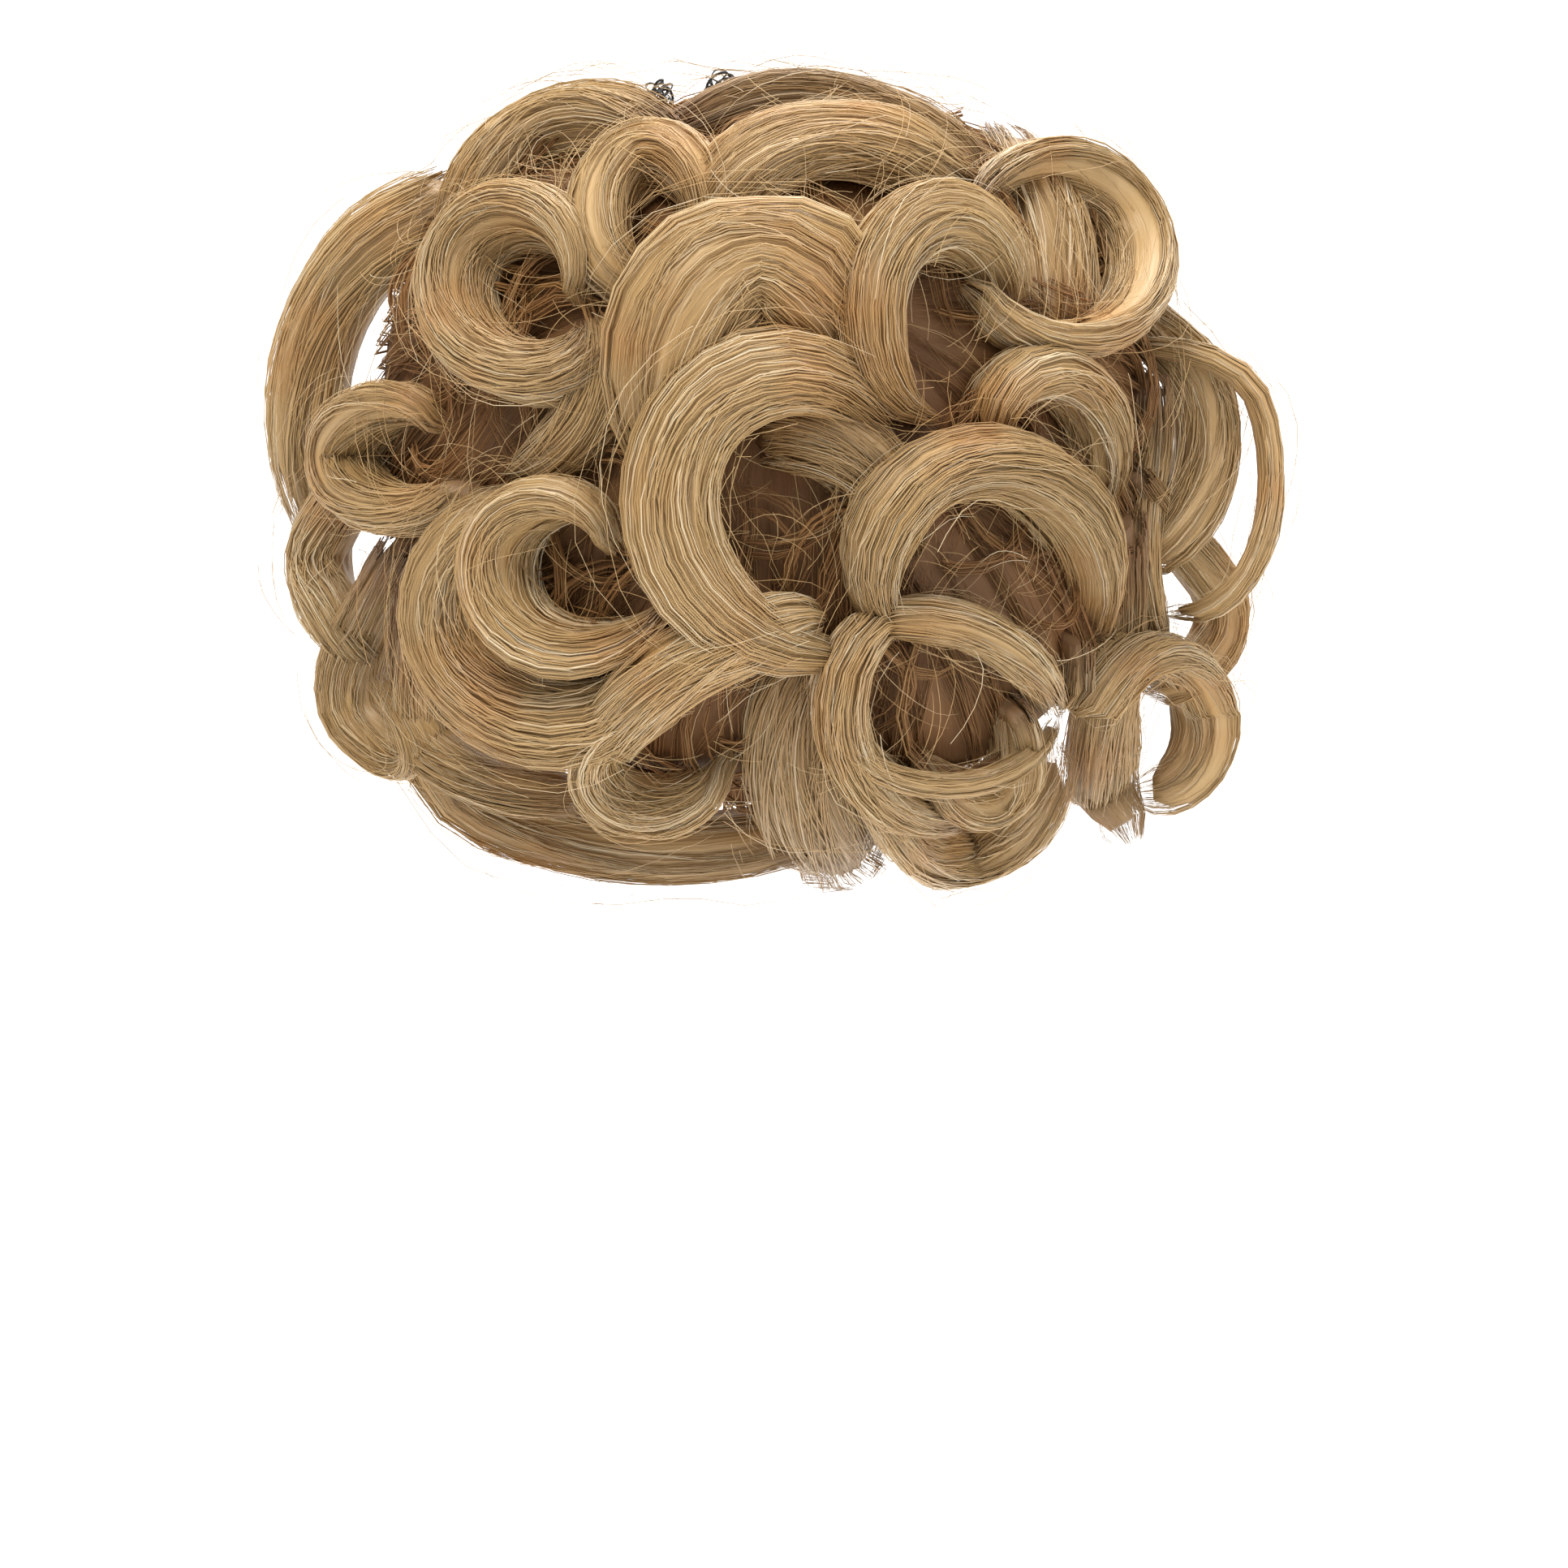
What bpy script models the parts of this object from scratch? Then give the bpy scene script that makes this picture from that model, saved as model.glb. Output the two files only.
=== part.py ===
"""A curly bun hairpiece as worn, in metres, with +Z up and the wearer looking along +Y.

The origin is the back of the head, where the stretch net rests on it. The net cap and the bed of wefts
sewn over it follow the head, and every curl is a swept lock that springs from the bed.
"""

import math

import bmesh
import bpy
import numpy as np
from mathutils import Vector

# The head that the piece is worn on, and the neck below it
HEAD_HALF_WIDTH = 0.076
HEAD_HALF_DEPTH = 0.094
HEAD_HALF_HEIGHT = 0.095
NECK_RADIUS = 0.053
NECK_BACK = 0.038

# Clearance between two pieces that touch, and between two locks
GAP = 0.0003
LOCK_GAP = 0.0005

# The net cap: its rim crosses the crown this far in front of the head's middle, and the nape at this height
RIM_CROWN_FORWARD = 0.004
RIM_NAPE_HEIGHT = -0.070
NET_THICKNESS = 0.0012
NET_CORD_WIDTH = 0.0034
NET_RINGS = 5
NET_SPOKES = 14

# The elastic that gathers the rim
EDGE_RADIUS = 0.0016
EDGE_STANDOFF = 0.0026
EDGE_STATIONS = 28
EDGE_SIDES = 6

# The bed of wefts and the hair packed under the curls. It fills these shares of the curls' rise at the back
# and at the sides, its top and bottom stay inside the bun's, and it hangs past the net's rim at the nape by
# this angle.
BED_THICKNESS = 0.012
BED_FULLNESS = 0.30
BED_SIDE_FULLNESS = 0.60
BED_INSET = 0.008
NAPE_HANG = math.radians(7)
BED_RINGS = 2 * NET_RINGS
BED_SPOKES = 2 * NET_SPOKES
LEAST_POLE = math.radians(5)

# The two side combs
COMB_WIDTH = 0.074
COMB_SPINE_HEIGHT = 0.009
COMB_THICKNESS = 0.0022
COMB_TOOTH_LENGTH = 0.030
COMB_TEETH = 13
COMB_TOOTH_SHARE = 0.48
COMB_TIP_SHARE = 0.5
COMB_SEAT = 0.0022

# The outer form that the curls keep to, over the bed and down to the nape
CURL_RISE = 0.042
BUN_TOP = 0.109
BUN_BOTTOM = -0.112
BUN_POWER_ABOVE = 2.8
BUN_POWER_BELOW = 3.0
LEAST_FULLNESS = 0.42
WRAP_FROM = 0.8
WRAP_MOST = math.radians(92)

# A usual curl: the radius of its turn, half its breadth and half its depth
CURL_RADIUS = 0.022
LOCK_BREADTH = 0.010
LOCK_DEPTH = 0.014
END_LENGTH = 0.34
ROOTS_REACH = 0.94
TIGHTEST_SHARE = 0.8
LEAST_BEND = 1.0
PATH_STEP = 0.03
FRAME_STEADINESS = 0.6
STATION_EVERY = math.radians(33)
WIDENING_POWER = 1.5
LEAST_MITRE = 0.4
FEWEST_STATIONS = 6

# The ways to clean a cut lock, the first that leaves it closed being kept: how near two corners are joined,
# and how flat two faces lie to become one
CLEANINGS = (
    (0.00005, math.radians(1.5)),
    (0.00002, math.radians(1)),
    (0.00001, math.radians(0.5)),
    (0.000001, math.radians(0.2)),
)

# A lock's section, from its lower left round to its lower right: shares of its half breadth and half depth.
# The hollow in the outer side is the parting that runs along a curl.
SECTION = (
    (-0.70, -0.85),
    (-1.00, -0.10),
    (-0.72, 0.68),
    (-0.25, 1.00),
    (0.12, 0.80),
    (0.52, 0.95),
    (0.96, 0.30),
    (0.70, -0.85),
)

# Every lock, front ones first. across and up place its turn's centre in the rear view, as shares of the
# bun's half width and half height. wide and tall are the turn's radii in curl radii. lean, start and turn
# are degrees. opening and closing widen or narrow the turn at its two ends. breadth and depth are shares of
# a usual lock's. root, crest and tip are its heights over the bed, as shares of the curls' rise, and
# root_size and tip_size are the shares of its breadth left at its ends.
LOCK_COLUMNS = (
    "name across up wide tall lean start turn opening closing"
    " breadth depth root crest tip root_size tip_size"
).split()
LOCKS = (
    ("loop_nape_right", 0.38, -0.59, 1.49, 1.08, 0, 175, 165, 1, 1, 0.2, 0.28, 0.5, 0.9, 0.5, 0.6, 0.5),
    ("loop_far_right", 0.92, -0.01, 1.06, 1.76, 0, 95, -190, 1, 1, 0.22, 0.28, 0.7, 1.15, 0.7, 0.6, 0.5),
    ("ring_upper_left", -0.48, 0.44, 0.9, 0.92, 0, -40, -315, 1.35, 0.75, 0.8, 1.1, 0.4, 0.68, 0.45, 1.2, 0.45),
    ("curl_left_inner", -0.41, -0.25, 0.86, 0.86, 0, -25, -300, 1.7, 0.75, 0.68, 1.05, 0.35, 0.75, 0.6, 0.5, 0.3),
    ("curl_centre", 0.06, -0.07, 1.43, 1.43, 0, 35, 255, 1, 1.5, 1.3, 1, 0.4, 0.8, 0.3, 0.35, 0.15),
    ("arch_right_lower", 0.45, -0.27, 1.25, 1.31, 0, 215, -235, 1.1, 1.2, 0.95, 0.95, 0.3, 0.75, 0.4, 0.3, 0.35),
    ("arch_right_upper", 0.37, 0.4, 0.84, 1, 0, 265, -250, 1.5, 0.95, 1, 0.95, 0.35, 0.72, 0.4, 0.12, 0.5),
    ("wave_centre", 0, 0.13, 1.28, 1.79, 0, 12, 185, 1, 1, 1.9, 0.95, 0.3, 0.75, 0.5, 0.15, 0.5),
    ("ring_left_middle", -0.76, 0.04, 0.8, 0.67, 0, -25, -285, 1.4, 0.9, 0.68, 0.9, 0.4, 0.65, 0.45, 0.8, 0.5),
    ("curl_left_outer", -0.43, -0.34, 1.51, 1.48, 0, -22, -225, 1.25, 0.85, 1.17, 0.95, 0.3, 0.65, 0.4, 0.5, 0.5),
    ("arch_right_middle", 0.58, 0.04, 0.71, 0.92, 0, 172, -200, 1, 1.1, 0.72, 0.85, 0.35, 0.62, 0.3, 0.5, 0.5),
    ("roll_nape_left", -0.22, -0.74, 0.8, 0.56, 0, 80, 265, 1, 1, 0.5, 0.8, 0.6, 0.62, 0.3, 0.9, 0.6),
    ("band_nape_left", 0.17, -1.15, 3.78, 3.78, 0, 95, 45, 1, 1, 1, 0.85, 0.3, 0.65, 0.5, 0.25, 0.9),
    ("loop_right_top", 0.61, 0.53, 1.14, 1.12, 0, 155, -300, 1.1, 1.05, 0.55, 0.95, 0.35, 0.62, 0.45, 0.6, 0.5),
    ("ring_crown", -0.22, 0.6, 0.73, 0.86, 0, -15, 275, 0.8, 1.05, 0.8, 0.85, 0.25, 0.55, 0.25, 0.4, 0.8),
    ("wave_crown_right", 0.17, 0.56, 1.68, 1.2, 0, 30, 140, 1, 1, 1.17, 0.8, 0.1, 0.5, 0.25, 0.8, 0.7),
    ("wave_crown_left", -0.37, 0.57, 1.62, 1.6, 0, 48, 128, 1, 1, 0.95, 0.8, 0.1, 0.45, 0.2, 0.7, 0.6),
    ("wave_far_left", -0.595, 0.13, 2.42, 2.9, 0, 97, 106, 1, 1, 1.08, 0.9, 0.3, 0.6, 0.35, 0.8, 0.6),
    ("side_left_middle", -0.78, -0.21, 1.14, 1.22, 0, 140, 110, 1, 1, 0.9, 0.7, 0.3, 0.6, 0.3, 0.6, 0.6),
    ("loop_lower_left", -0.82, -0.6, 0.82, 0.35, -45, 160, 300, 1, 1, 0.34, 0.8, 0.35, 0.55, 0.35, 0.7, 0.7),
    ("band_nape_right", 0.32, -0.73, 1.84, 1.68, 0, 110, -85, 1, 1, 0.63, 0.65, 0.25, 0.6, 0.3, 0.4, 0.6),
    ("curl_nape_right", 0.36, -0.61, 1.22, 1.22, 0, 115, 160, 1, 1, 0.72, 0.85, 0.25, 0.6, 0.3, 0.5, 0.6),
    ("curl_nape_inner", 0.44, -0.72, 0.6, 0.6, 0, 40, -200, 1, 1, 0.55, 0.75, 0.3, 0.5, 0.35, 0.7, 0.6),
    ("ring_lower_right", 0.84, -0.66, 0.84, 1, 0, 225, -305, 1, 0.8, 0.54, 0.75, 0.4, 0.6, 0.35, 0.8, 0.4),
    ("sweep_far_right", 0.78, 0.1, 1.08, 1.55, 0, 70, -150, 1, 1, 0.68, 0.7, 0.3, 0.7, 0.4, 0.6, 0.5),
    ("bulge_far_right", 0.85, -0.36, 0.9, 0.87, 0, 75, -165, 1, 1, 0.55, 0.6, 0.35, 0.6, 0.3, 0.6, 0.6),
    ("roll_nape_right", 0.4, -0.73, 1.2, 1.14, 0, 195, 160, 1, 1, 0.6, 0.9, 0.2, 0.5, 0.25, 0.7, 0.6),
    ("band_bottom_upper", -0.41, -0.35, 2.66, 2.35, 0, 210, 60, 1, 1, 0.63, 0.7, 0.3, 0.5, 0.2, 0.6, 0.6),
    ("band_bottom_lower", -0.2, -0.41, 4.2, 2.78, 0, 203, 95, 1, 1, 0.68, 0.8, 0.25, 0.4, 0.05, 0.6, 0.6),
    ("inner_fall_centre", 0.03, -0.23, 1.53, 1.53, 0, 100, -95, 1, 1, 1.1, 0.7, 0.25, 0.4, 0.2, 0.8, 0.5),
    ("lining_right_top", 0.07, 0.51, 3.27, 3.27, 0, 28, -45, 1, 1, 1.6, 0.65, 0.1, 0.38, 0.2, 0.9, 0.8),
    ("fall_right", 1.33, -0.21, 3.27, 3.27, 0, 150, 60, 1, 1, 0.72, 0.65, 0.2, 0.4, 0.15, 0.7, 0.5),
    ("fall_left_centre", -0.58, 0.27, 1.55, 1.55, 0, 15, -85, 1, 1, 0.9, 0.7, 0.25, 0.42, 0.3, 0.6, 0.5),
    ("fill_lower_right", 1.15, -0.665, 2.5, 2.5, 0, 140, 70, 1, 1, 1.35, 0.65, 0.2, 0.35, 0.2, 0.7, 0.7),
    ("fall_nape_centre", 0.4, -0.73, 1.94, 1.94, 0, 140, 86, 1, 1, 1.5, 0.65, 0.1, 0.3, 0.1, 0.6, 0.9),
    ("band_crown", 0.07, 0.51, 2.76, 2.19, 0, 125, -97, 1, 1, 0.72, 0.55, 0.05, 0.2, 0.15, 0.6, 0.6),
)

# Two faces that meet at more than this angle have a sharp edge between them
SHARPEST_SMOOTH = math.radians(50)

HAIR_BLONDE = (0.60, 0.41, 0.22)
NET_BLACK = (0.02, 0.02, 0.02)
COMB_BROWN = (0.05, 0.03, 0.02)

HEAD = Vector((HEAD_HALF_WIDTH, HEAD_HALF_DEPTH, HEAD_HALF_HEIGHT))
HEAD_CENTRE = Vector((0, HEAD_HALF_DEPTH, 0))
CROWN_ANGLE = math.pi / 2 + math.asin(RIM_CROWN_FORWARD / HEAD_HALF_DEPTH)
NAPE_ANGLE = math.asin(RIM_NAPE_HEIGHT / HEAD_HALF_HEIGHT)
POLE_TILT = (CROWN_ANGLE + NAPE_ANGLE) / 2
RIM_ANGLE = (CROWN_ANGLE - NAPE_ANGLE) / 2
BED_INSIDE = NET_THICKNESS + GAP
CURL_BASE = BED_INSIDE + BED_THICKNESS
BUN_HALF_WIDTH = HEAD_HALF_WIDTH + CURL_BASE + CURL_RISE
BUN_HALF_HEIGHT = (BUN_TOP - BUN_BOTTOM) / 2
BUN_MIDDLE = (BUN_TOP + BUN_BOTTOM) / 2
BUN_CENTRE = Vector((0, HEAD_HALF_DEPTH, BUN_MIDDLE))
BACKWARDS = Vector((0, -math.cos(POLE_TILT), math.sin(POLE_TILT)))
CROWNWARDS = Vector((0, math.sin(POLE_TILT), math.cos(POLE_TILT)))


def clear_scene():
    for obj in list(bpy.data.objects):
        bpy.data.objects.remove(obj)


def material(name, colour, roughness, metallic=0.0):
    made = bpy.data.materials.new(name)
    made.use_nodes = True
    shader = made.node_tree.nodes["Principled BSDF"]
    shader.inputs["Base Color"].default_value = (*colour, 1)
    shader.inputs["Roughness"].default_value = roughness
    shader.inputs["Metallic"].default_value = metallic
    return made


def new_object(name, points, faces, finish, parent):
    """An object whose own origin is the middle of its points, so that it's placed by its location."""
    middle = Vector(np.mean([tuple(p) for p in points], axis=0))
    mesh = bpy.data.meshes.new(name)
    mesh.from_pydata([tuple(Vector(p) - middle) for p in points], [], faces)
    mesh.shade_smooth()
    mesh.set_sharp_from_angle(angle=SHARPEST_SMOOTH)
    mesh.materials.append(finish)
    obj = bpy.data.objects.new(name, mesh)
    obj.location = middle
    obj.parent = parent
    bpy.context.scene.collection.objects.link(obj)
    return obj


# Places on the head


def cap_way(polar, spoke):
    """The direction at an angle from the cap's middle, going round it from the crown."""
    round_it = math.sin(spoke) * Vector((1, 0, 0)) + math.cos(spoke) * CROWNWARDS
    return math.cos(polar) * BACKWARDS + math.sin(polar) * round_it


def head_point(way, offset):
    return HEAD_CENTRE + Vector(way[i] * (HEAD[i] + offset) for i in range(3))


def cap_point(polar, spoke, offset):
    return head_point(cap_way(polar, spoke), offset)


def bed_surface(way, extra):
    """The bed's outside in a direction from the bun's middle: round from above, squarer from the side."""
    half_width = HEAD_HALF_WIDTH + CURL_BASE + BED_SIDE_FULLNESS * CURL_RISE + extra
    half_depth = HEAD_HALF_DEPTH + CURL_BASE + BED_FULLNESS * CURL_RISE + extra
    level = math.hypot(way.x / half_width, way.y / half_depth)
    upright = abs(way.z) / (BUN_HALF_HEIGHT - BED_INSET + extra)
    power = BUN_POWER_ABOVE if way.z > 0 else BUN_POWER_BELOW
    return BUN_CENTRE + way / (level ** power + upright ** power) ** (1 / power)


def thick_patch(cells, inner, outer):
    """The closed solid between two layers of the same cells, each a loop of keys that the layers place."""
    keys = sorted({key for cell in cells for key in cell})
    index = {key: i for i, key in enumerate(keys)}
    points = [outer(key) for key in keys] + [inner(key) for key in keys]
    below = len(keys)
    faces = []
    edges = set()
    for cell in cells:
        corners = [index[key] for key in cell]
        faces.append(corners)
        faces.append([below + c for c in reversed(corners)])
        edges.update(zip(corners, corners[1:] + corners[:1]))
    for a, b in sorted(edges):
        if (b, a) not in edges:
            faces.append([b, a, below + a, below + b])
    return points, faces


def cap_cells(rings, spokes):
    """The cells of a round cap: triangles at its middle and four-sided cells outside them."""
    cells = []
    for spoke in range(spokes):
        following = (spoke + 1) % spokes
        cells.append([(0, 0), (1, following), (1, spoke)])
        for ring in range(1, rings):
            cells.append([(ring, spoke), (ring, following), (ring + 1, following), (ring + 1, spoke)])
    return cells


def in_triangles(cells):
    """The cells, every four-sided one split the same way, so that two surfaces made of them keep apart."""
    split = []
    for cell in cells:
        for i in range(1, len(cell) - 1):
            split.append([cell[0], cell[i], cell[i + 1]])
    return split


# The base pieces


def build_net(finish, parent):
    """A bowl of elastic net: each cell but the middle ones is a gap, with half a cord along each side."""
    cells = []
    for cell in cap_cells(NET_RINGS, NET_SPOKES):
        if len(cell) == 3:
            cells.append([(key, None) for key in cell])
            continue
        gap_cell = tuple(cell)
        for i in range(4):
            j = (i + 1) % 4
            cells.append([(cell[i], None), (cell[j], None), (cell[j], gap_cell), (cell[i], gap_cell)])

    def layer(offset):
        def corner(key):
            ring, spoke = key
            return cap_point(RIM_ANGLE * ring / NET_RINGS, math.tau * spoke / NET_SPOKES, offset)

        def point(key):
            at = corner(key[0])
            if key[1] is None:
                return at
            corners = [corner(k) for k in key[1]]
            middle = sum(corners, Vector()) / 4
            narrowest = min((corners[0] - corners[1]).length, (corners[2] - corners[3]).length)
            return at.lerp(middle, min(0.5, NET_CORD_WIDTH / narrowest))

        return point

    order = {}

    def plain(key):
        return order.setdefault(key, (len(order),))

    numbered = [[plain(key) for key in cell] for cell in cells]
    keys = {number: key for key, number in order.items()}
    inner = layer(0.0)
    outer = layer(NET_THICKNESS)
    points, faces = thick_patch(numbered, lambda n: inner(keys[n]), lambda n: outer(keys[n]))
    return new_object("net_cap", points, faces, finish, parent)


def bed_outside(key, extra):
    """A corner of the bed's outside, which also goes on past its rim, moved out by extra."""
    ring, spoke = key
    around = math.tau * spoke / BED_SPOKES
    edge = RIM_ANGLE + NAPE_HANG * ((1 - math.cos(around)) / 2) ** 2
    return bed_surface(cap_way(edge * ring / BED_RINGS, around), extra)


def build_bed(finish, parent):
    """The wefts sewn round the net and the hair packed under the curls, as one bowl."""

    def inner(key):
        return cap_point(RIM_ANGLE * key[0] / BED_RINGS, math.tau * key[1] / BED_SPOKES, BED_INSIDE)

    def outer(key):
        return bed_outside(key, 0.0)

    points, faces = thick_patch(in_triangles(cap_cells(BED_RINGS, BED_SPOKES)), inner, outer)
    return new_object("weft_bed", points, faces, finish, parent)


def build_elastic(finish, parent):
    """The round elastic along the rim of the net."""
    polar = RIM_ANGLE + EDGE_STANDOFF / HEAD_HALF_DEPTH
    step = math.tau / EDGE_STATIONS
    points = []
    for spoke in range(EDGE_STATIONS):
        around = spoke * step
        middle = cap_point(polar, around, EDGE_RADIUS)
        out = (cap_point(polar, around, 2 * EDGE_RADIUS) - middle).normalized()
        before = cap_point(polar, around - step, EDGE_RADIUS)
        along = (cap_point(polar, around + step, EDGE_RADIUS) - before).normalized()
        side = along.cross(out)
        for i in range(EDGE_SIDES):
            turn = math.tau * i / EDGE_SIDES
            points.append(middle + EDGE_RADIUS * (math.cos(turn) * out + math.sin(turn) * side))
    faces = []
    for spoke in range(EDGE_STATIONS):
        here = spoke * EDGE_SIDES
        there = (spoke + 1) % EDGE_STATIONS * EDGE_SIDES
        for i in range(EDGE_SIDES):
            j = (i + 1) % EDGE_SIDES
            faces.append([here + i, there + i, there + j, here + j])
    obj = new_object("edge_elastic", points, faces, finish, parent)
    turn_outwards(obj)
    return obj


def build_comb(name, spine_angle, inwards, finish, parent):
    """A comb lying under the net with its spine along the rim, its teeth pointing to the net's middle."""
    columns = 2 * COMB_TEETH - 1
    tooth = COMB_WIDTH / (COMB_TEETH + (COMB_TEETH - 1) * (1 / COMB_TOOTH_SHARE - 1))
    space = tooth * (1 / COMB_TOOTH_SHARE - 1)
    stops = [-COMB_WIDTH / 2]
    for column in range(columns):
        stops.append(stops[-1] + (tooth if column % 2 == 0 else space))
    cells = []
    for column in range(columns):
        cells.append([(column, 0), (column + 1, 0), (column + 1, 1), (column, 1)])
        if column % 2 == 0:
            cells.append([(column, 1), (column + 1, 1), (column + 1, 2), (column, 2)])
            cells.append([(column, 2), (column + 1, 2), (column + 1, 3), (column, 3)])
    half_tooth = COMB_TOOTH_LENGTH / 2
    reach = [0.0, COMB_SPINE_HEIGHT, COMB_SPINE_HEIGHT + half_tooth, COMB_SPINE_HEIGHT + COMB_TOOTH_LENGTH]

    def layer(offset):
        def point(key):
            column, row = key
            across = stops[column]
            if row == 3:
                middle = (stops[column // 2 * 2] + stops[column // 2 * 2 + 1]) / 2
                across = middle + (across - middle) * COMB_TIP_SHARE
            sideways = math.asin(across / HEAD_HALF_WIDTH)
            upright = spine_angle + inwards * reach[row] / HEAD_HALF_HEIGHT
            level = math.cos(sideways)
            way = (math.sin(sideways), -level * math.cos(upright), level * math.sin(upright))
            return head_point(way, offset)

        return point

    points, faces = thick_patch(cells, layer(-COMB_SEAT - COMB_THICKNESS), layer(-COMB_SEAT))
    obj = new_object(name, points, faces, finish, parent)
    turn_outwards(obj)
    return obj


def turn_outwards(obj, split=False):
    mesh = bmesh.new()
    mesh.from_mesh(obj.data)
    if split:
        bmesh.ops.triangulate(mesh, faces=mesh.faces)
    bmesh.ops.recalc_face_normals(mesh, faces=mesh.faces)
    mesh.to_mesh(obj.data)
    mesh.free()


# The locks


def bun_point(x, z, rise):
    """The bun's point seen at x and z from behind, at a rise over the curls' base, and the way off it."""
    up = min(1.0, abs(z - BUN_MIDDLE) / BUN_HALF_HEIGHT)
    power = BUN_POWER_ABOVE if z > BUN_MIDDLE else BUN_POWER_BELOW
    fullness = max(LEAST_FULLNESS, (1 - up ** power) ** (1 / power))
    half_width = (HEAD_HALF_WIDTH + CURL_BASE + rise) * fullness
    half_depth = (HEAD_HALF_DEPTH + CURL_BASE + rise) * fullness
    share = abs(x) / half_width
    angle = math.asin(min(share, WRAP_FROM)) + max(0.0, share - WRAP_FROM) / math.cos(math.asin(WRAP_FROM))
    angle = math.copysign(min(angle, WRAP_MOST), x)
    level = fullness ** (power - 1)
    upright = math.copysign(up ** (power - 1), z - BUN_MIDDLE)
    off = Vector((level * math.sin(angle), -level * math.cos(angle), upright)).normalized()
    return Vector((x, HEAD_HALF_DEPTH - half_depth * math.cos(angle), z)), off


def bed_below(point):
    """The place on the bed, inside its rim, that lies below a point of the bun."""
    way = (point - BUN_CENTRE).normalized()
    polar = min(way.angle(BACKWARDS), RIM_ANGLE * ROOTS_REACH)
    sideways = (way - way.dot(BACKWARDS) * BACKWARDS).normalized()
    return bed_surface(math.cos(polar) * BACKWARDS + math.sin(polar) * sideways, 0.0)


def lock_path(row, share):
    """Where a lock's middle line is at a share of its length, and the direction off the bun there."""
    angle = math.radians(row["start"] + row["turn"] * share)
    nearness_to_root = max(0.0, 1 - 2 * share)
    nearness_to_tip = max(0.0, 2 * share - 1)
    widening = 1 + (row["opening"] - 1) * nearness_to_root ** WIDENING_POWER
    widening += (row["closing"] - 1) * nearness_to_tip ** WIDENING_POWER
    a = CURL_RADIUS * row["wide"] * widening * math.cos(angle)
    b = CURL_RADIUS * row["tall"] * widening * math.sin(angle)
    lean = math.radians(row["lean"])
    x = row["across"] * BUN_HALF_WIDTH + a * math.cos(lean) - b * math.sin(lean)
    z = BUN_MIDDLE + row["up"] * BUN_HALF_HEIGHT + a * math.sin(lean) + b * math.cos(lean)
    at_root, at_tip = ends(share)
    height = row["crest"] + (row["root"] - row["crest"]) * at_root + (row["tip"] - row["crest"]) * at_tip
    point, off = bun_point(x, z, CURL_RISE * height)
    return point.lerp(bed_below(point), at_root), off


def ends(share):
    """How near a share of a lock's length is to its root and to its tip: 1 there, 0 past each end's part."""
    return max(0.0, 1 - share / END_LENGTH) ** 2, max(0.0, 1 - (1 - share) / END_LENGTH) ** 2


def section_loop(half_breadth, half_depth, grow):
    """The corners of a lock's section, moved out by grow."""
    corners = [Vector((across * half_breadth, out * half_depth)) for across, out in SECTION]
    grown = []
    for i, corner in enumerate(corners):
        before = (corner - corners[i - 1]).normalized()
        after = (corners[(i + 1) % len(corners)] - corner).normalized()
        first = Vector((-before.y, before.x))
        second = Vector((-after.y, after.x))
        grown.append(corner + (first + second) * (grow / max(LEAST_MITRE, 1 + first.dot(second))))
    return grown


def lock_frames(row, count):
    """For each station of a lock: its middle, the direction along it, the one off the bun, and the bend.

    From the middle station to both ends, each frame is turned as little as its path allows.
    """
    places = []
    for station in range(count):
        share = station / (count - 1)
        middle, out = lock_path(row, share)
        arriving = middle - lock_path(row, share - PATH_STEP)[0]
        leaving = lock_path(row, share + PATH_STEP)[0] - middle
        along = (arriving.normalized() + leaving.normalized()).normalized()
        bend = (leaving.normalized() - arriving.normalized()) / ((arriving.length + leaving.length) / 2)
        places.append([middle, along, out - out.dot(along) * along, bend])
    half = count // 2
    places[half][2].normalize()
    for stations, back in ((range(half + 1, count), -1), (range(half - 1, -1, -1), 1)):
        for station in stations:
            along = places[station][1]
            carried = places[station + back][2]
            carried = (carried - carried.dot(along) * along).normalized()
            places[station][2] = (carried * FRAME_STEADINESS + places[station][2]).normalized()
    return places


def lock_solid(row, grow):
    """The closed loft of a lock, grown all round by grow. Its section narrows where its path bends."""
    count = max(FEWEST_STATIONS, math.ceil(abs(math.radians(row["turn"])) / STATION_EVERY) + 1)
    loops = []
    for station, (middle, along, out, bend) in enumerate(lock_frames(row, count)):
        side = along.cross(out)
        at_root, at_tip = ends(station / (count - 1))
        taper = 1 + (row["root_size"] - 1) * at_root + (row["tip_size"] - 1) * at_tip
        half_breadth = LOCK_BREADTH * row["breadth"] * taper
        half_depth = LOCK_DEPTH * row["depth"] * (1 + min(1.0, taper)) / 2
        half_breadth = min(half_breadth, TIGHTEST_SHARE / max(abs(bend.dot(side)), LEAST_BEND))
        half_depth = min(half_depth, TIGHTEST_SHARE / max(abs(bend.dot(out)), LEAST_BEND))
        if station == 0:
            middle = middle - along * grow
        if station == count - 1:
            middle = middle + along * grow
        loops.append([middle + side * c.x + out * c.y for c in section_loop(half_breadth, half_depth, grow)])
    sides = len(SECTION)
    points = [point for loop in loops for point in loop]
    faces = [list(range(sides))[::-1], [len(points) - sides + i for i in range(sides)]]
    for station in range(count - 1):
        for i in range(sides):
            j = (i + 1) % sides
            here = station * sides
            there = here + sides
            faces.append([here + i, here + j, there + j])
            faces.append([here + i, there + j, there + i])
    return points, faces


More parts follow.
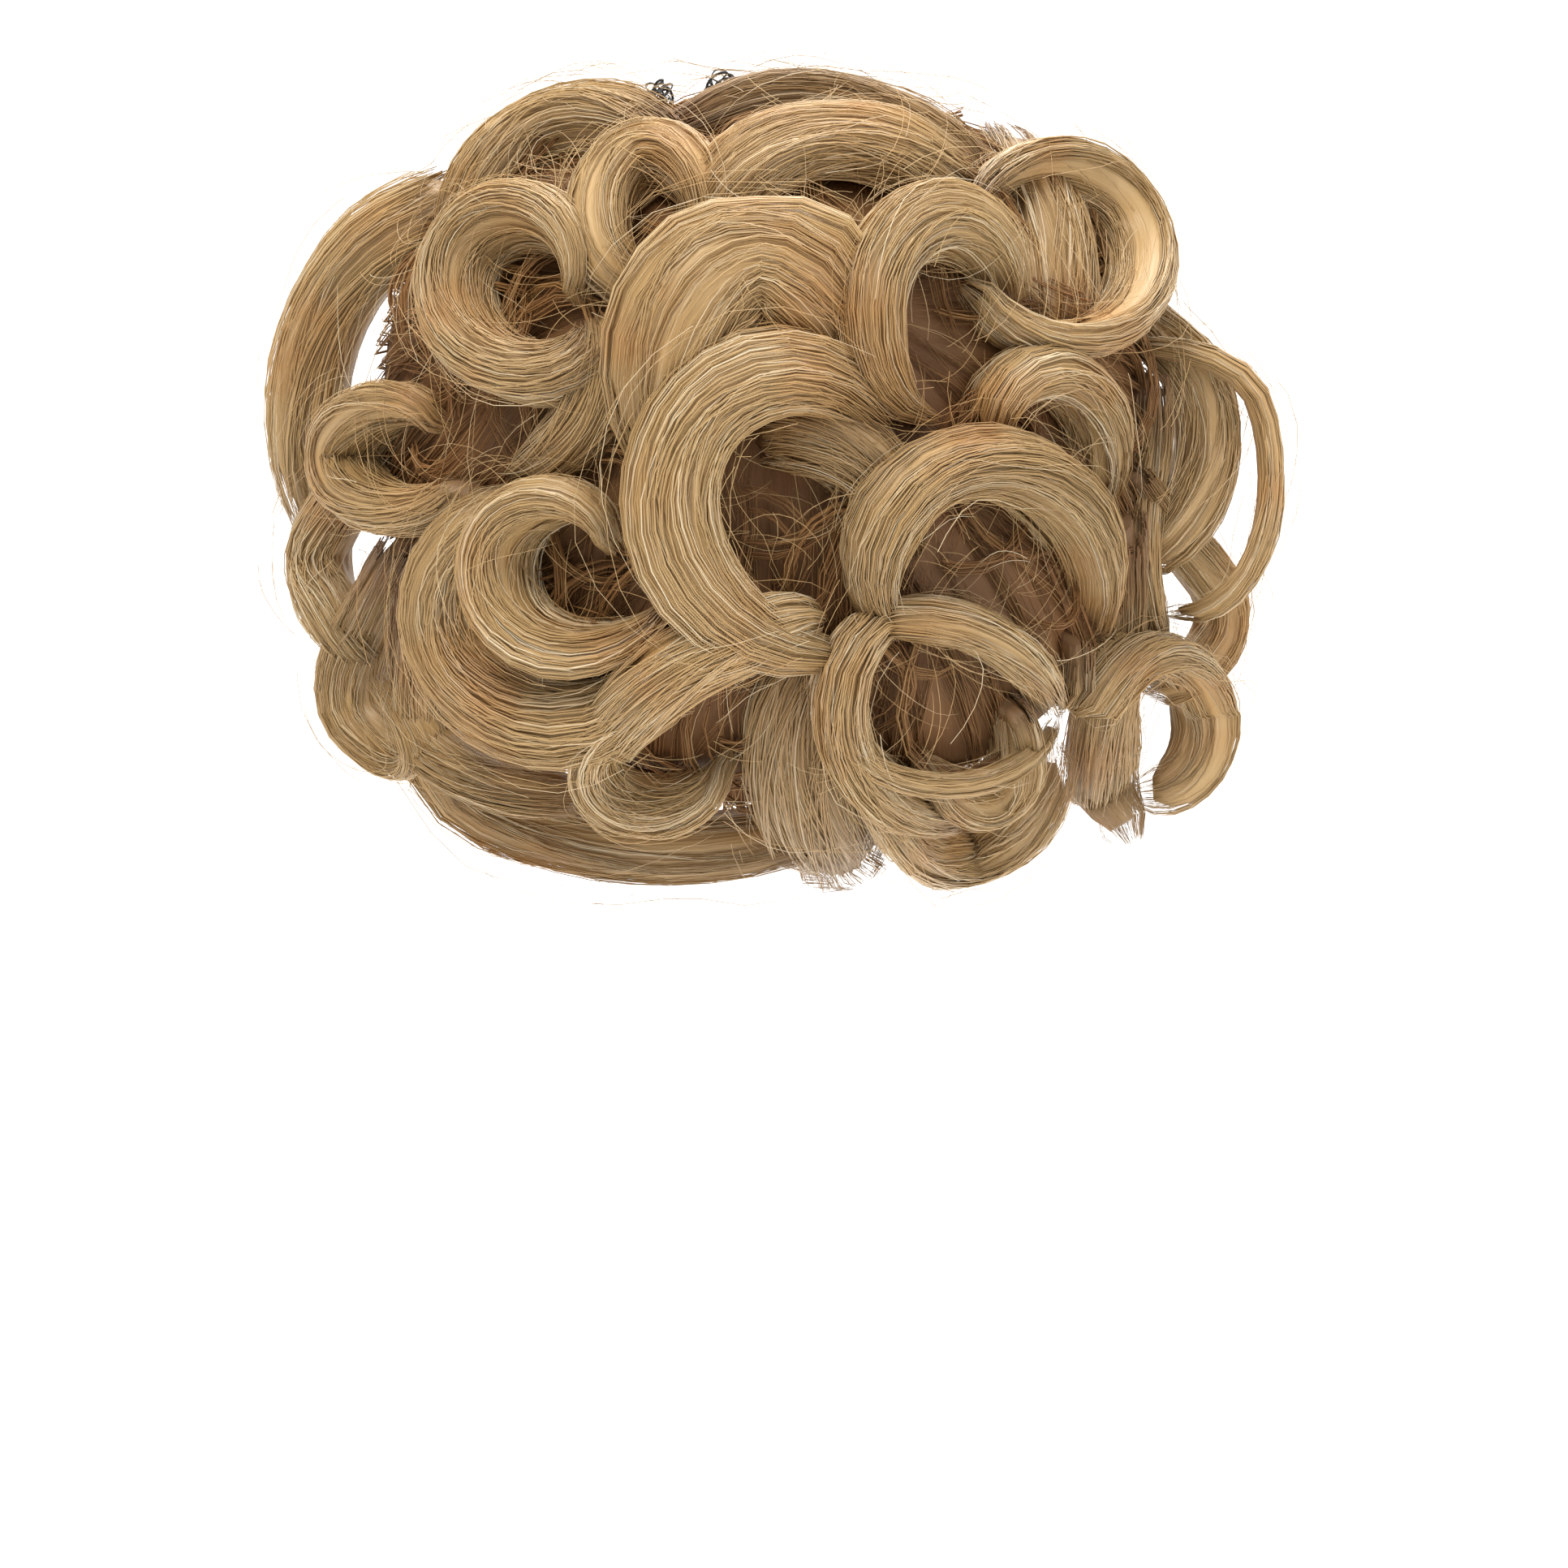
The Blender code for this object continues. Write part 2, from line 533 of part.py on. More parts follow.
def plain_object(name, points, faces):
    """A closed body that is only used to cut others."""
    mesh = bpy.data.meshes.new(name)
    mesh.from_pydata([tuple(p) for p in points], [], faces)
    obj = bpy.data.objects.new(name, mesh)
    obj.hide_render = True
    obj.display_type = "WIRE"
    bpy.context.scene.collection.objects.link(obj)
    turn_outwards(obj, split=True)
    return obj


def head_cutters():
    """The space that the locks keep clear of: the bed and what is inside it, and the neck."""
    rings = math.floor((math.pi - LEAST_POLE) / (RIM_ANGLE + NAPE_HANG) * BED_RINGS)
    cells = in_triangles(cap_cells(rings, BED_SPOKES))
    keys = sorted({key for cell in cells for key in cell})
    index = {key: i for i, key in enumerate(keys)}
    points = [bed_outside(key, GAP) for key in keys]
    faces = [[index[key] for key in cell] for cell in cells]
    faces.append([index[rings, spoke] for spoke in range(BED_SPOKES)])
    head = plain_object("head_space", points, faces)
    neck_middle = NECK_BACK + NECK_RADIUS
    points = []
    for height in (2 * BUN_BOTTOM, 0.0):
        for i in range(BED_SPOKES):
            turn = math.tau * i / BED_SPOKES
            points.append((NECK_RADIUS * math.cos(turn), neck_middle + NECK_RADIUS * math.sin(turn), height))
    faces = [list(range(BED_SPOKES)), [BED_SPOKES + i for i in range(BED_SPOKES)]]
    for i in range(BED_SPOKES):
        j = (i + 1) % BED_SPOKES
        faces.append([i, j, BED_SPOKES + j, BED_SPOKES + i])
    neck = plain_object("neck_space", points, faces)
    return [head, neck]


def largest_body(mesh):
    """Leaves only the largest closed body of a cut lock."""
    left = set(mesh.faces)
    bodies = []
    while left:
        stack = [left.pop()]
        body = set(stack)
        while stack:
            face = stack.pop()
            for edge in face.edges:
                if len(edge.link_faces) != 2:
                    continue
                for neighbour in edge.link_faces:
                    if neighbour in left:
                        left.remove(neighbour)
                        body.add(neighbour)
                        stack.append(neighbour)
        bodies.append(body)

    def volume(body):
        total = 0.0
        for face in body:
            first = face.verts[0].co
            for a, b in zip(face.verts[1:-1], face.verts[2:]):
                total += first.dot(a.co.cross(b.co))
        return total

    bodies.sort(key=volume)
    unwanted = [face for body in bodies[:-1] for face in body]
    bmesh.ops.delete(mesh, geom=unwanted, context="FACES")


def cut_lock(name, points, faces, cutters):
    """The lock with the space of every cutter taken away."""
    blank = plain_object(name + "_blank", points, faces)
    group = bpy.data.collections.new(name + "_cutters")
    bpy.context.scene.collection.children.link(group)
    for cutter in cutters:
        group.objects.link(cutter)
    cut = blank.modifiers.new("cut", "BOOLEAN")
    cut.operation = "DIFFERENCE"
    cut.solver = "EXACT"
    cut.operand_type = "COLLECTION"
    cut.collection = group
    evaluated = blank.evaluated_get(bpy.context.evaluated_depsgraph_get())
    for weld, flatness in CLEANINGS:
        mesh = bmesh.new()
        mesh.from_mesh(evaluated.to_mesh())
        bmesh.ops.remove_doubles(mesh, verts=mesh.verts, dist=weld)
        bmesh.ops.dissolve_degenerate(mesh, edges=mesh.edges, dist=weld)
        largest_body(mesh)
        bmesh.ops.dissolve_limit(mesh, angle_limit=flatness, verts=mesh.verts, edges=mesh.edges)
        bmesh.ops.triangulate(mesh, faces=[face for face in mesh.faces if len(face.verts) > 4])
        closed = all(len(edge.link_faces) == 2 for edge in mesh.edges)
        mesh.verts.index_update()
        made_points = [vert.co.copy() for vert in mesh.verts]
        made_faces = [[vert.index for vert in face.verts] for face in mesh.faces]
        mesh.free()
        if closed:
            break
    evaluated.to_mesh_clear()
    bpy.data.objects.remove(blank)
    bpy.data.collections.remove(group)
    return made_points, made_faces


def near(first, second):
    """Whether the boxes round two sets of points meet."""
    for axis in range(3):
        if min(p[axis] for p in first) > max(p[axis] for p in second):
            return False
        if max(p[axis] for p in first) < min(p[axis] for p in second):
            return False
    return True


def build_locks(finish, parent):
    """Cuts every lock where the bed, the neck or a lock in front of it already is."""
    always = head_cutters()
    placed = []
    for values in LOCKS:
        row = dict(zip(LOCK_COLUMNS, values))
        points, faces = lock_solid(row, 0.0)
        cutters = always + [cutter for cutter, corners in placed if near(points, corners)]
        made_points, made_faces = cut_lock(row["name"], points, faces, cutters)
        new_object(row["name"], made_points, made_faces, finish[row["name"]], parent)
        grown, grown_faces = lock_solid(row, LOCK_GAP)
        placed.append((plain_object(row["name"] + "_space", grown, grown_faces), grown))
    for cutter in always + [cutter for cutter, corners in placed]:
        bpy.data.objects.remove(cutter)


clear_scene()
root = bpy.data.objects.new("bun_hairpiece", None)
bpy.context.scene.collection.objects.link(root)
build_net(material("net_black", NET_BLACK, 0.8), root)
build_bed(material("bed_hair", HAIR_BLONDE, 0.55), root)
build_elastic(material("elastic_black", NET_BLACK, 0.7), root)
build_comb("comb_crown", CROWN_ANGLE, -1, material("comb_crown_plastic", COMB_BROWN, 0.35), root)
build_comb("comb_nape", NAPE_ANGLE, 1, material("comb_nape_plastic", COMB_BROWN, 0.35), root)
build_locks({row[0]: material(row[0] + "_hair", HAIR_BLONDE, 0.45) for row in LOCKS}, root)
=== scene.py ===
import math

import bpy
import numpy as np
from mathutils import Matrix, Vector


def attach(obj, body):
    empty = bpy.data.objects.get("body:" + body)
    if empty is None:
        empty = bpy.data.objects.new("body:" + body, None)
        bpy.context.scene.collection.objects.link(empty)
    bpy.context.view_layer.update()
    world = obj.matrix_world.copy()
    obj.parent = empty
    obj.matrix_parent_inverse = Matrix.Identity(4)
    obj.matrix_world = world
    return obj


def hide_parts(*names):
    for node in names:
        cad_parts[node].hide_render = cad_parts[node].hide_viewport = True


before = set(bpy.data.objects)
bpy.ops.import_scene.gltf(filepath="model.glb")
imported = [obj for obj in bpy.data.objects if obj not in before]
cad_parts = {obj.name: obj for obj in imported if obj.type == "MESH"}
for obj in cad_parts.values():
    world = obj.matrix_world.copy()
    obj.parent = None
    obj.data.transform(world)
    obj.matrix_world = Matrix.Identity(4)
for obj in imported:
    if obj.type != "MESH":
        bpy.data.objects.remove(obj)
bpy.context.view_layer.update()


def linear(text):
    """An sRGB hex colour as linear RGBA."""
    parts = [int(text[i:i + 2], 16) / 255 for i in (1, 3, 5)]
    return [c / 12.92 if c <= 0.04045 else ((c + 0.055) / 1.055) ** 2.4 for c in parts] + [1.0]


def add(tree, kind, inputs=None, **settings):
    """Adds a node, sets its properties, and fills its inputs with values or links."""
    node = tree.nodes.new(kind)
    for name, value in settings.items():
        setattr(node, name, value)
    for key, value in (inputs or {}).items():
        socket = node.inputs[key]
        if isinstance(value, bpy.types.NodeSocket):
            tree.links.new(value, socket)
        else:
            socket.default_value = value
    return node


def maths(tree, operation, first, second=0.0, third=0.0):
    return add(tree, "ShaderNodeMath", {0: first, 1: second, 2: third}, operation=operation).outputs[0]


def ramp(tree, factor, stops):
    """A colour ramp through (place, hex colour) stops."""
    node = add(tree, "ShaderNodeValToRGB", {0: factor})
    marks = node.color_ramp.elements
    while len(marks) < len(stops):
        marks.new(0.5)
    for mark, (place, colour) in zip(marks, stops):
        mark.position = place
        mark.color = linear(colour)
    return node.outputs[0]


def plain_material(name):
    made = bpy.data.materials.new(name)
    made.use_nodes = True
    return made, made.node_tree, made.node_tree.nodes["Principled BSDF"]


# The hair fibre: heat-set synthetic filament of mixed blonde shades, curled on rollers and sprayed. Each
# filament keeps its own tone, and golden patches about 40 mm long lie across it; the streaks along a lock
# follow its own comb attribute. The "shade" attribute then mixes the colour towards a dark brown: painted
# shade, deepest where a lock lies low near the weft, at its root and on its underside.
PATCHES_PER_METRE, STREAK_ROUGHNESS, STREAK_HEIGHT = 24.0, 0.65, 0.0007
STREAK_SHARE, TINT_SHARE, SHADE_OFFSET, GLOSS_SPREAD = 0.6, 0.5, -0.02, 0.2


def hair_material(name, painted_shade_brown, ash, middle, gold, light, smoothest):
    made, tree, shader = plain_material(name)
    tint = add(tree, "ShaderNodeAttribute", attribute_name="tint").outputs["Fac"]
    shade = add(tree, "ShaderNodeAttribute", attribute_name="shade").outputs["Fac"]
    comb = add(tree, "ShaderNodeAttribute", attribute_name="comb").outputs["Vector"]
    place = add(tree, "ShaderNodeTexCoord").outputs["Object"]
    patches = add(
        tree, "ShaderNodeTexNoise", {"Vector": place, "Scale": PATCHES_PER_METRE, "Detail": 2.0}
    ).outputs["Fac"]
    streaks = add(
        tree, "ShaderNodeTexNoise",
        {"Vector": comb, "Scale": 1.0, "Detail": 3.0, "Roughness": STREAK_ROUGHNESS},
    ).outputs["Fac"]
    own = maths(tree, "MULTIPLY_ADD", tint, TINT_SHARE, SHADE_OFFSET)
    mixed = maths(tree, "MULTIPLY_ADD", streaks, STREAK_SHARE, own)
    fibre = ramp(tree, mixed, ((0.12, ash), (0.38, middle), (0.58, middle), (0.82, light)))
    warmth = add(tree, "ShaderNodeMapRange", {0: patches, 1: 0.50, 2: 0.68, 3: 0.0, 4: 0.5}).outputs[0]
    warmer = add(
        tree, "ShaderNodeMix", {"Factor": warmth, 6: fibre, 7: linear(gold)}, data_type="RGBA"
    ).outputs[2]
    # painted shade: the colour is mixed towards the dark brown as far as the shade attribute says
    shaded = add(
        tree, "ShaderNodeMix", {"Factor": shade, 6: warmer, 7: linear(painted_shade_brown)}, data_type="RGBA"
    ).outputs[2]
    tree.links.new(shaded, shader.inputs["Base Color"])
    bump = add(tree, "ShaderNodeBump", {"Height": streaks, "Strength": 0.6, "Distance": STREAK_HEIGHT})
    tree.links.new(bump.outputs[0], shader.inputs["Normal"])
    tree.links.new(maths(tree, "MULTIPLY_ADD", streaks, GLOSS_SPREAD, smoothest), shader.inputs["Roughness"])
    return made


CURL_HAIR = hair_material(
    "heat_set_blonde_filament_glossy", "#5E3416", "#94784E", "#BC9C6A", "#C08C50", "#F2E4C4", 0.30
)


# How hair is laid along a guide: every guide line carries the way across it and off it and its half sizes,
# and the tree copies it into clumps of filaments that fill that section, wander a little, end raggedly and
# taper. Faces that come with the guides are kept as the packed hair inside the lock.
LOWEST_TURN, HIGHEST_TURN = math.radians(-38), math.radians(218)
SQUARENESS = 2.6
CLUMP_BENDS_PER_METRE, STRAND_BENDS_PER_METRE, BEND_SPACING = 28.0, 55.0, 0.731
CLUMP_DEPTH, STRAND_DEPTH, CLUMP_TINT, STRAND_TINT = 0.6, 0.4, 0.55, 0.45
THINNEST, THICKEST, TAPER_LOSS, TAPER_POWER = 0.7, 1.25, 0.7, 4.0
LATEST_STRAY_START, SHORTEST_STRAY, LONGEST_STRAY = 0.6, 0.2, 0.4
MOST_STRANDS, STRAND_SIDES, STRAY_SEED = 1000.0, 3, 50


def filament_tree():
    tree = bpy.data.node_groups.new("comb_filaments", "GeometryNodeTree")
    made = {}
    for name, kind in (
        ("Guides", "NodeSocketGeometry"), ("Filaments", "NodeSocketInt"), ("Clump", "NodeSocketInt"),
        ("Spread", "NodeSocketFloat"), ("Twist", "NodeSocketFloat"), ("Nearest", "NodeSocketFloat"),
        ("Farthest", "NodeSocketFloat"), ("Clump Wander", "NodeSocketFloat"),
        ("Filament Wander", "NodeSocketFloat"), ("Radius", "NodeSocketFloat"),
        ("Root Scatter", "NodeSocketFloat"), ("Tip Scatter", "NodeSocketFloat"), ("Strays", "NodeSocketInt"),
        ("Stray Reach", "NodeSocketFloat"), ("Stray Wander", "NodeSocketFloat"),
        ("Stray Radius", "NodeSocketFloat"), ("Seed", "NodeSocketInt"), ("Material", "NodeSocketMaterial"),
    ):
        made[name] = tree.interface.new_socket(name, in_out="INPUT", socket_type=kind)
    tree.interface.new_socket("Hair", in_out="OUTPUT", socket_type="NodeSocketGeometry")
    inputs = add(tree, "NodeGroupInput").outputs

    def named(name, kind):
        node = add(tree, "GeometryNodeInputNamedAttribute", {"Name": name}, data_type=kind)
        return node.outputs["Attribute"]

    def chance(identity, step, low=0.0, high=1.0):
        seed = maths(tree, "ADD", inputs["Seed"], step)
        node = add(tree, "FunctionNodeRandomValue", {2: low, 3: high, "ID": identity, "Seed": seed})
        return node.outputs[1]

    def scaled(vector, factor):
        return add(tree, "ShaderNodeVectorMath", {0: vector, "Scale": factor}, operation="SCALE").outputs[0]

    def summed(first, second):
        return add(tree, "ShaderNodeVectorMath", {0: first, 1: second}, operation="ADD").outputs[0]

    def wander(vector, identity, scale, size):
        node = add(
            tree, "ShaderNodeTexNoise",
            {
                "Vector": vector, "W": maths(tree, "MULTIPLY", identity, BEND_SPACING), "Scale": scale,
                "Detail": 0.0,
            },
            noise_dimensions="4D",
        )
        centred = add(
            tree, "ShaderNodeVectorMath", {0: node.outputs["Color"], 1: (0.5, 0.5, 0.5)},
            operation="SUBTRACT",
        ).outputs[0]
        return scaled(centred, maths(tree, "MULTIPLY", size, 2.0))

    guide = named("guide", "INT")
    is_guide = maths(tree, "GREATER_THAN", guide, 0.5)
    lines = add(
        tree, "GeometryNodeMeshToCurve", {"Mesh": inputs["Guides"], "Selection": is_guide}
    ).outputs[0]
    packed = add(
        tree, "GeometryNodeDeleteGeometry", {"Geometry": inputs["Guides"], "Selection": is_guide},
        domain="POINT",
    ).outputs[0]
    place = add(tree, "GeometryNodeInputPosition").outputs[0]
    layers = []
    for count, clump, spread, near, far, clump_size, size, radius, step in (
        ("Filaments", "Clump", "Spread", "Nearest", "Farthest",
         "Clump Wander", "Filament Wander", "Radius", 0),
        ("Strays", None, None, "Nearest", "Stray Reach",
         "Stray Wander", "Filament Wander", "Stray Radius", STRAY_SEED),
    ):
        copies = add(
            tree, "GeometryNodeDuplicateElements", {"Geometry": lines, "Amount": inputs[count]},
            domain="SPLINE",
        )
        identity = maths(tree, "MULTIPLY_ADD", guide, MOST_STRANDS, copies.outputs["Duplicate Index"])
        kept = add(
            tree, "GeometryNodeStoreNamedAttribute",
            {"Geometry": copies.outputs[0], "Name": "strand", "Value": identity},
            data_type="INT", domain="POINT",
        ).outputs[0]
        strand = named("strand", "INT")
        if clump:
            group = maths(tree, "FLOOR", maths(tree, "DIVIDE", strand, inputs[clump]))
            turn = maths(tree, "MULTIPLY_ADD", chance(strand, step + 3, -1.0, 1.0), inputs[spread],
                         chance(group, step + 1, LOWEST_TURN, HIGHEST_TURN))
        else:
            group = strand
            turn = chance(group, step + 1, LOWEST_TURN, HIGHEST_TURN)
        from_middle = maths(tree, "SUBTRACT", named("along", "FLOAT"), 0.5)
        winding = maths(tree, "MULTIPLY", from_middle, maths(tree, "MULTIPLY", inputs["Twist"],
                                                             chance(group, step + 10, -1.0, 1.0)))
        turn = maths(tree, "ADD", turn, winding)
        across = maths(tree, "COSINE", turn)
        off = maths(tree, "SINE", turn)
        squared = maths(tree, "ADD", maths(tree, "POWER", maths(tree, "ABSOLUTE", across), SQUARENESS),
                        maths(tree, "POWER", maths(tree, "ABSOLUTE", off), SQUARENESS))
        square = maths(tree, "POWER", squared, -1 / SQUARENESS)
        spare = maths(tree, "SUBTRACT", inputs[far], inputs[near])
        depth_share = maths(tree, "MULTIPLY_ADD", chance(group, step + 2), CLUMP_DEPTH,
                            maths(tree, "MULTIPLY", chance(strand, step + 4), STRAND_DEPTH))
        reach = maths(tree, "MULTIPLY", square,
                      maths(tree, "MULTIPLY_ADD", spare, depth_share, inputs[near]))
        sideways = maths(tree, "MULTIPLY", maths(tree, "MULTIPLY", across, reach),
                         named("half_breadth", "FLOAT"))
        outwards = maths(tree, "MULTIPLY", maths(tree, "MULTIPLY", off, reach),
                         named("half_depth", "FLOAT"))
        offset = summed(scaled(named("side", "FLOAT_VECTOR"), sideways),
                        scaled(named("off", "FLOAT_VECTOR"), outwards))
        offset = summed(offset, wander(place, group, CLUMP_BENDS_PER_METRE, inputs[clump_size]))
        offset = summed(offset, wander(place, strand, STRAND_BENDS_PER_METRE, inputs[size]))
        moved = add(tree, "GeometryNodeSetPosition", {"Geometry": kept, "Offset": offset}).outputs[0]
        if clump:
            start = maths(tree, "MULTIPLY", chance(strand, step + 5), inputs["Root Scatter"])
            late = maths(tree, "POWER", chance(strand, step + 6), 2.0)
            end = maths(tree, "SUBTRACT", 1.0, maths(tree, "MULTIPLY", late, inputs["Tip Scatter"]))
        else:
            start = maths(tree, "MULTIPLY", chance(strand, step + 5), LATEST_STRAY_START)
            end = maths(tree, "ADD", start, chance(strand, step + 6, SHORTEST_STRAY, LONGEST_STRAY))
        cut = add(tree, "GeometryNodeTrimCurve", {"Curve": moved, 2: start, 3: end}).outputs[0]
        factor = add(tree, "GeometryNodeSplineParameter").outputs["Factor"]
        tint = maths(tree, "MULTIPLY_ADD", chance(group, step + 7), CLUMP_TINT,
                     maths(tree, "MULTIPLY", chance(strand, step + 8), STRAND_TINT))
        tinted = add(
            tree, "GeometryNodeStoreNamedAttribute", {"Geometry": cut, "Name": "tint", "Value": tint},
            data_type="FLOAT", domain="POINT",
        ).outputs[0]
        lost = maths(tree, "MULTIPLY", maths(tree, "POWER", factor, TAPER_POWER), TAPER_LOSS)
        taper = maths(tree, "SUBTRACT", 1.0, lost)
        thick = maths(tree, "MULTIPLY", maths(tree, "MULTIPLY", taper, inputs[radius]),
                      chance(strand, step + 9, THINNEST, THICKEST))
        ring = add(
            tree, "GeometryNodeCurvePrimitiveCircle", {"Resolution": STRAND_SIDES, "Radius": 1.0}
        ).outputs[0]
        layers.append(add(
            tree, "GeometryNodeCurveToMesh",
            {"Curve": tinted, "Profile Curve": ring, "Scale": thick, "Fill Caps": True},
        ).outputs[0])
    joined = add(tree, "GeometryNodeJoinGeometry")
    for layer in [packed] + layers:
        tree.links.new(layer, joined.inputs[0])
    whole = add(tree, "GeometryNodeRealizeInstances", {0: joined.outputs[0]}).outputs[0]
    smooth = add(tree, "GeometryNodeSetShadeSmooth", {"Geometry": whole, "Shade Smooth": True}).outputs[0]
    finished = add(
        tree, "GeometryNodeSetMaterial", {"Geometry": smooth, "Material": inputs["Material"]}
    ).outputs[0]
    add(tree, "NodeGroupOutput", {0: finished})
    return tree, {name: socket.identifier for name, socket in made.items()}


COMB_FILAMENTS, FILAMENT_SOCKETS = filament_tree()


def combed(name, guides, shell, material, values):
    """A piece of hair: filaments along the guides, with the shell's faces under them.

    Each guide is a list of (place, across, off, half breadth, half depth, share of its length, painted
    shade). The shell is a list of (place, tint, painted shade, comb place) and a list of faces.
    """
    corners, faces = shell
    points = [corner[0] for corner in corners]
    rows = [(0, (0, 0, 0), (0, 0, 0), 0, 0, tint, 0, shade, comb) for place, tint, shade, comb in corners]
    edges = []
    for number, guide in enumerate(guides):
        for i, (place, across, off, half_breadth, half_depth, share, shade) in enumerate(guide):
            if i:
                edges.append((len(points) - 1, len(points)))
            points.append(place)
            rows.append((number + 1, across, off, half_breadth, half_depth, 0.5, share, shade, (0, 0, 0)))
    mesh = bpy.data.meshes.new(name + "_guides")
    mesh.from_pydata([tuple(p) for p in points], edges, faces)
    for column, (kind, label) in enumerate((
        ("INT", "guide"), ("FLOAT_VECTOR", "side"), ("FLOAT_VECTOR", "off"), ("FLOAT", "half_breadth"),
        ("FLOAT", "half_depth"), ("FLOAT", "tint"), ("FLOAT", "along"), ("FLOAT", "shade"),
        ("FLOAT_VECTOR", "comb"),
    )):
        made = mesh.attributes.new(label, kind, "POINT")
        field = "vector" if kind == "FLOAT_VECTOR" else "value"
        column_values = [tuple(row[column]) if kind == "FLOAT_VECTOR" else row[column] for row in rows]
        made.data.foreach_set(field, np.asarray(column_values, dtype=int if kind == "INT" else float).ravel())
    source = bpy.data.objects.new(name + "_guides", mesh)
    bpy.context.scene.collection.objects.link(source)
    layer = source.modifiers.new("comb", "NODES")
    layer.node_group = COMB_FILAMENTS
    for key, value in values.items():
        layer[FILAMENT_SOCKETS[key]] = value
    layer[FILAMENT_SOCKETS["Material"]] = material
    made = bpy.data.meshes.new_from_object(source.evaluated_get(bpy.context.evaluated_depsgraph_get()))
    bpy.data.objects.remove(source)
    for unwanted in ("guide", "side", "off", "half_breadth", "half_depth", "along", "strand"):
        if unwanted in made.attributes:
            made.attributes.remove(made.attributes[unwanted])
    piece = bpy.data.objects.new(name, made)
    bpy.context.scene.collection.objects.link(piece)
    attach(piece, "root")
    return piece


# The head and the bun's form, with the curls' own table, as the solids have them: every curl is a lock that
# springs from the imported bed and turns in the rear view, draped over the bun.
HEAD_HALF_WIDTH, HEAD_HALF_DEPTH, HEAD_HALF_HEIGHT = 0.076, 0.094, 0.095
RIM_CROWN_FORWARD, RIM_NAPE_HEIGHT = 0.004, -0.070
CURL_BASE, CURL_RISE = 0.0135, 0.042
BED_FULLNESS, BED_SIDE_FULLNESS, BED_INSET, NAPE_HANG = 0.30, 0.60, 0.008, math.radians(7)
BUN_TOP, BUN_BOTTOM, BUN_POWER_ABOVE, BUN_POWER_BELOW = 0.109, -0.112, 2.8, 3.0
LEAST_FULLNESS, WRAP_FROM, WRAP_MOST = 0.42, 0.8, math.radians(92)
CURL_RADIUS, LOCK_BREADTH, LOCK_DEPTH = 0.022, 0.010, 0.014
END_LENGTH, ROOTS_REACH, TIGHTEST_SHARE, LEAST_BEND = 0.34, 0.94, 0.8, 1.0
PATH_STEP, FRAME_STEADINESS, WIDENING_POWER = 0.03, 0.6, 1.5
LOCK_COLUMNS = (
    "name across up wide tall lean start turn opening closing"
    " breadth depth root crest tip root_size tip_size"
).split()
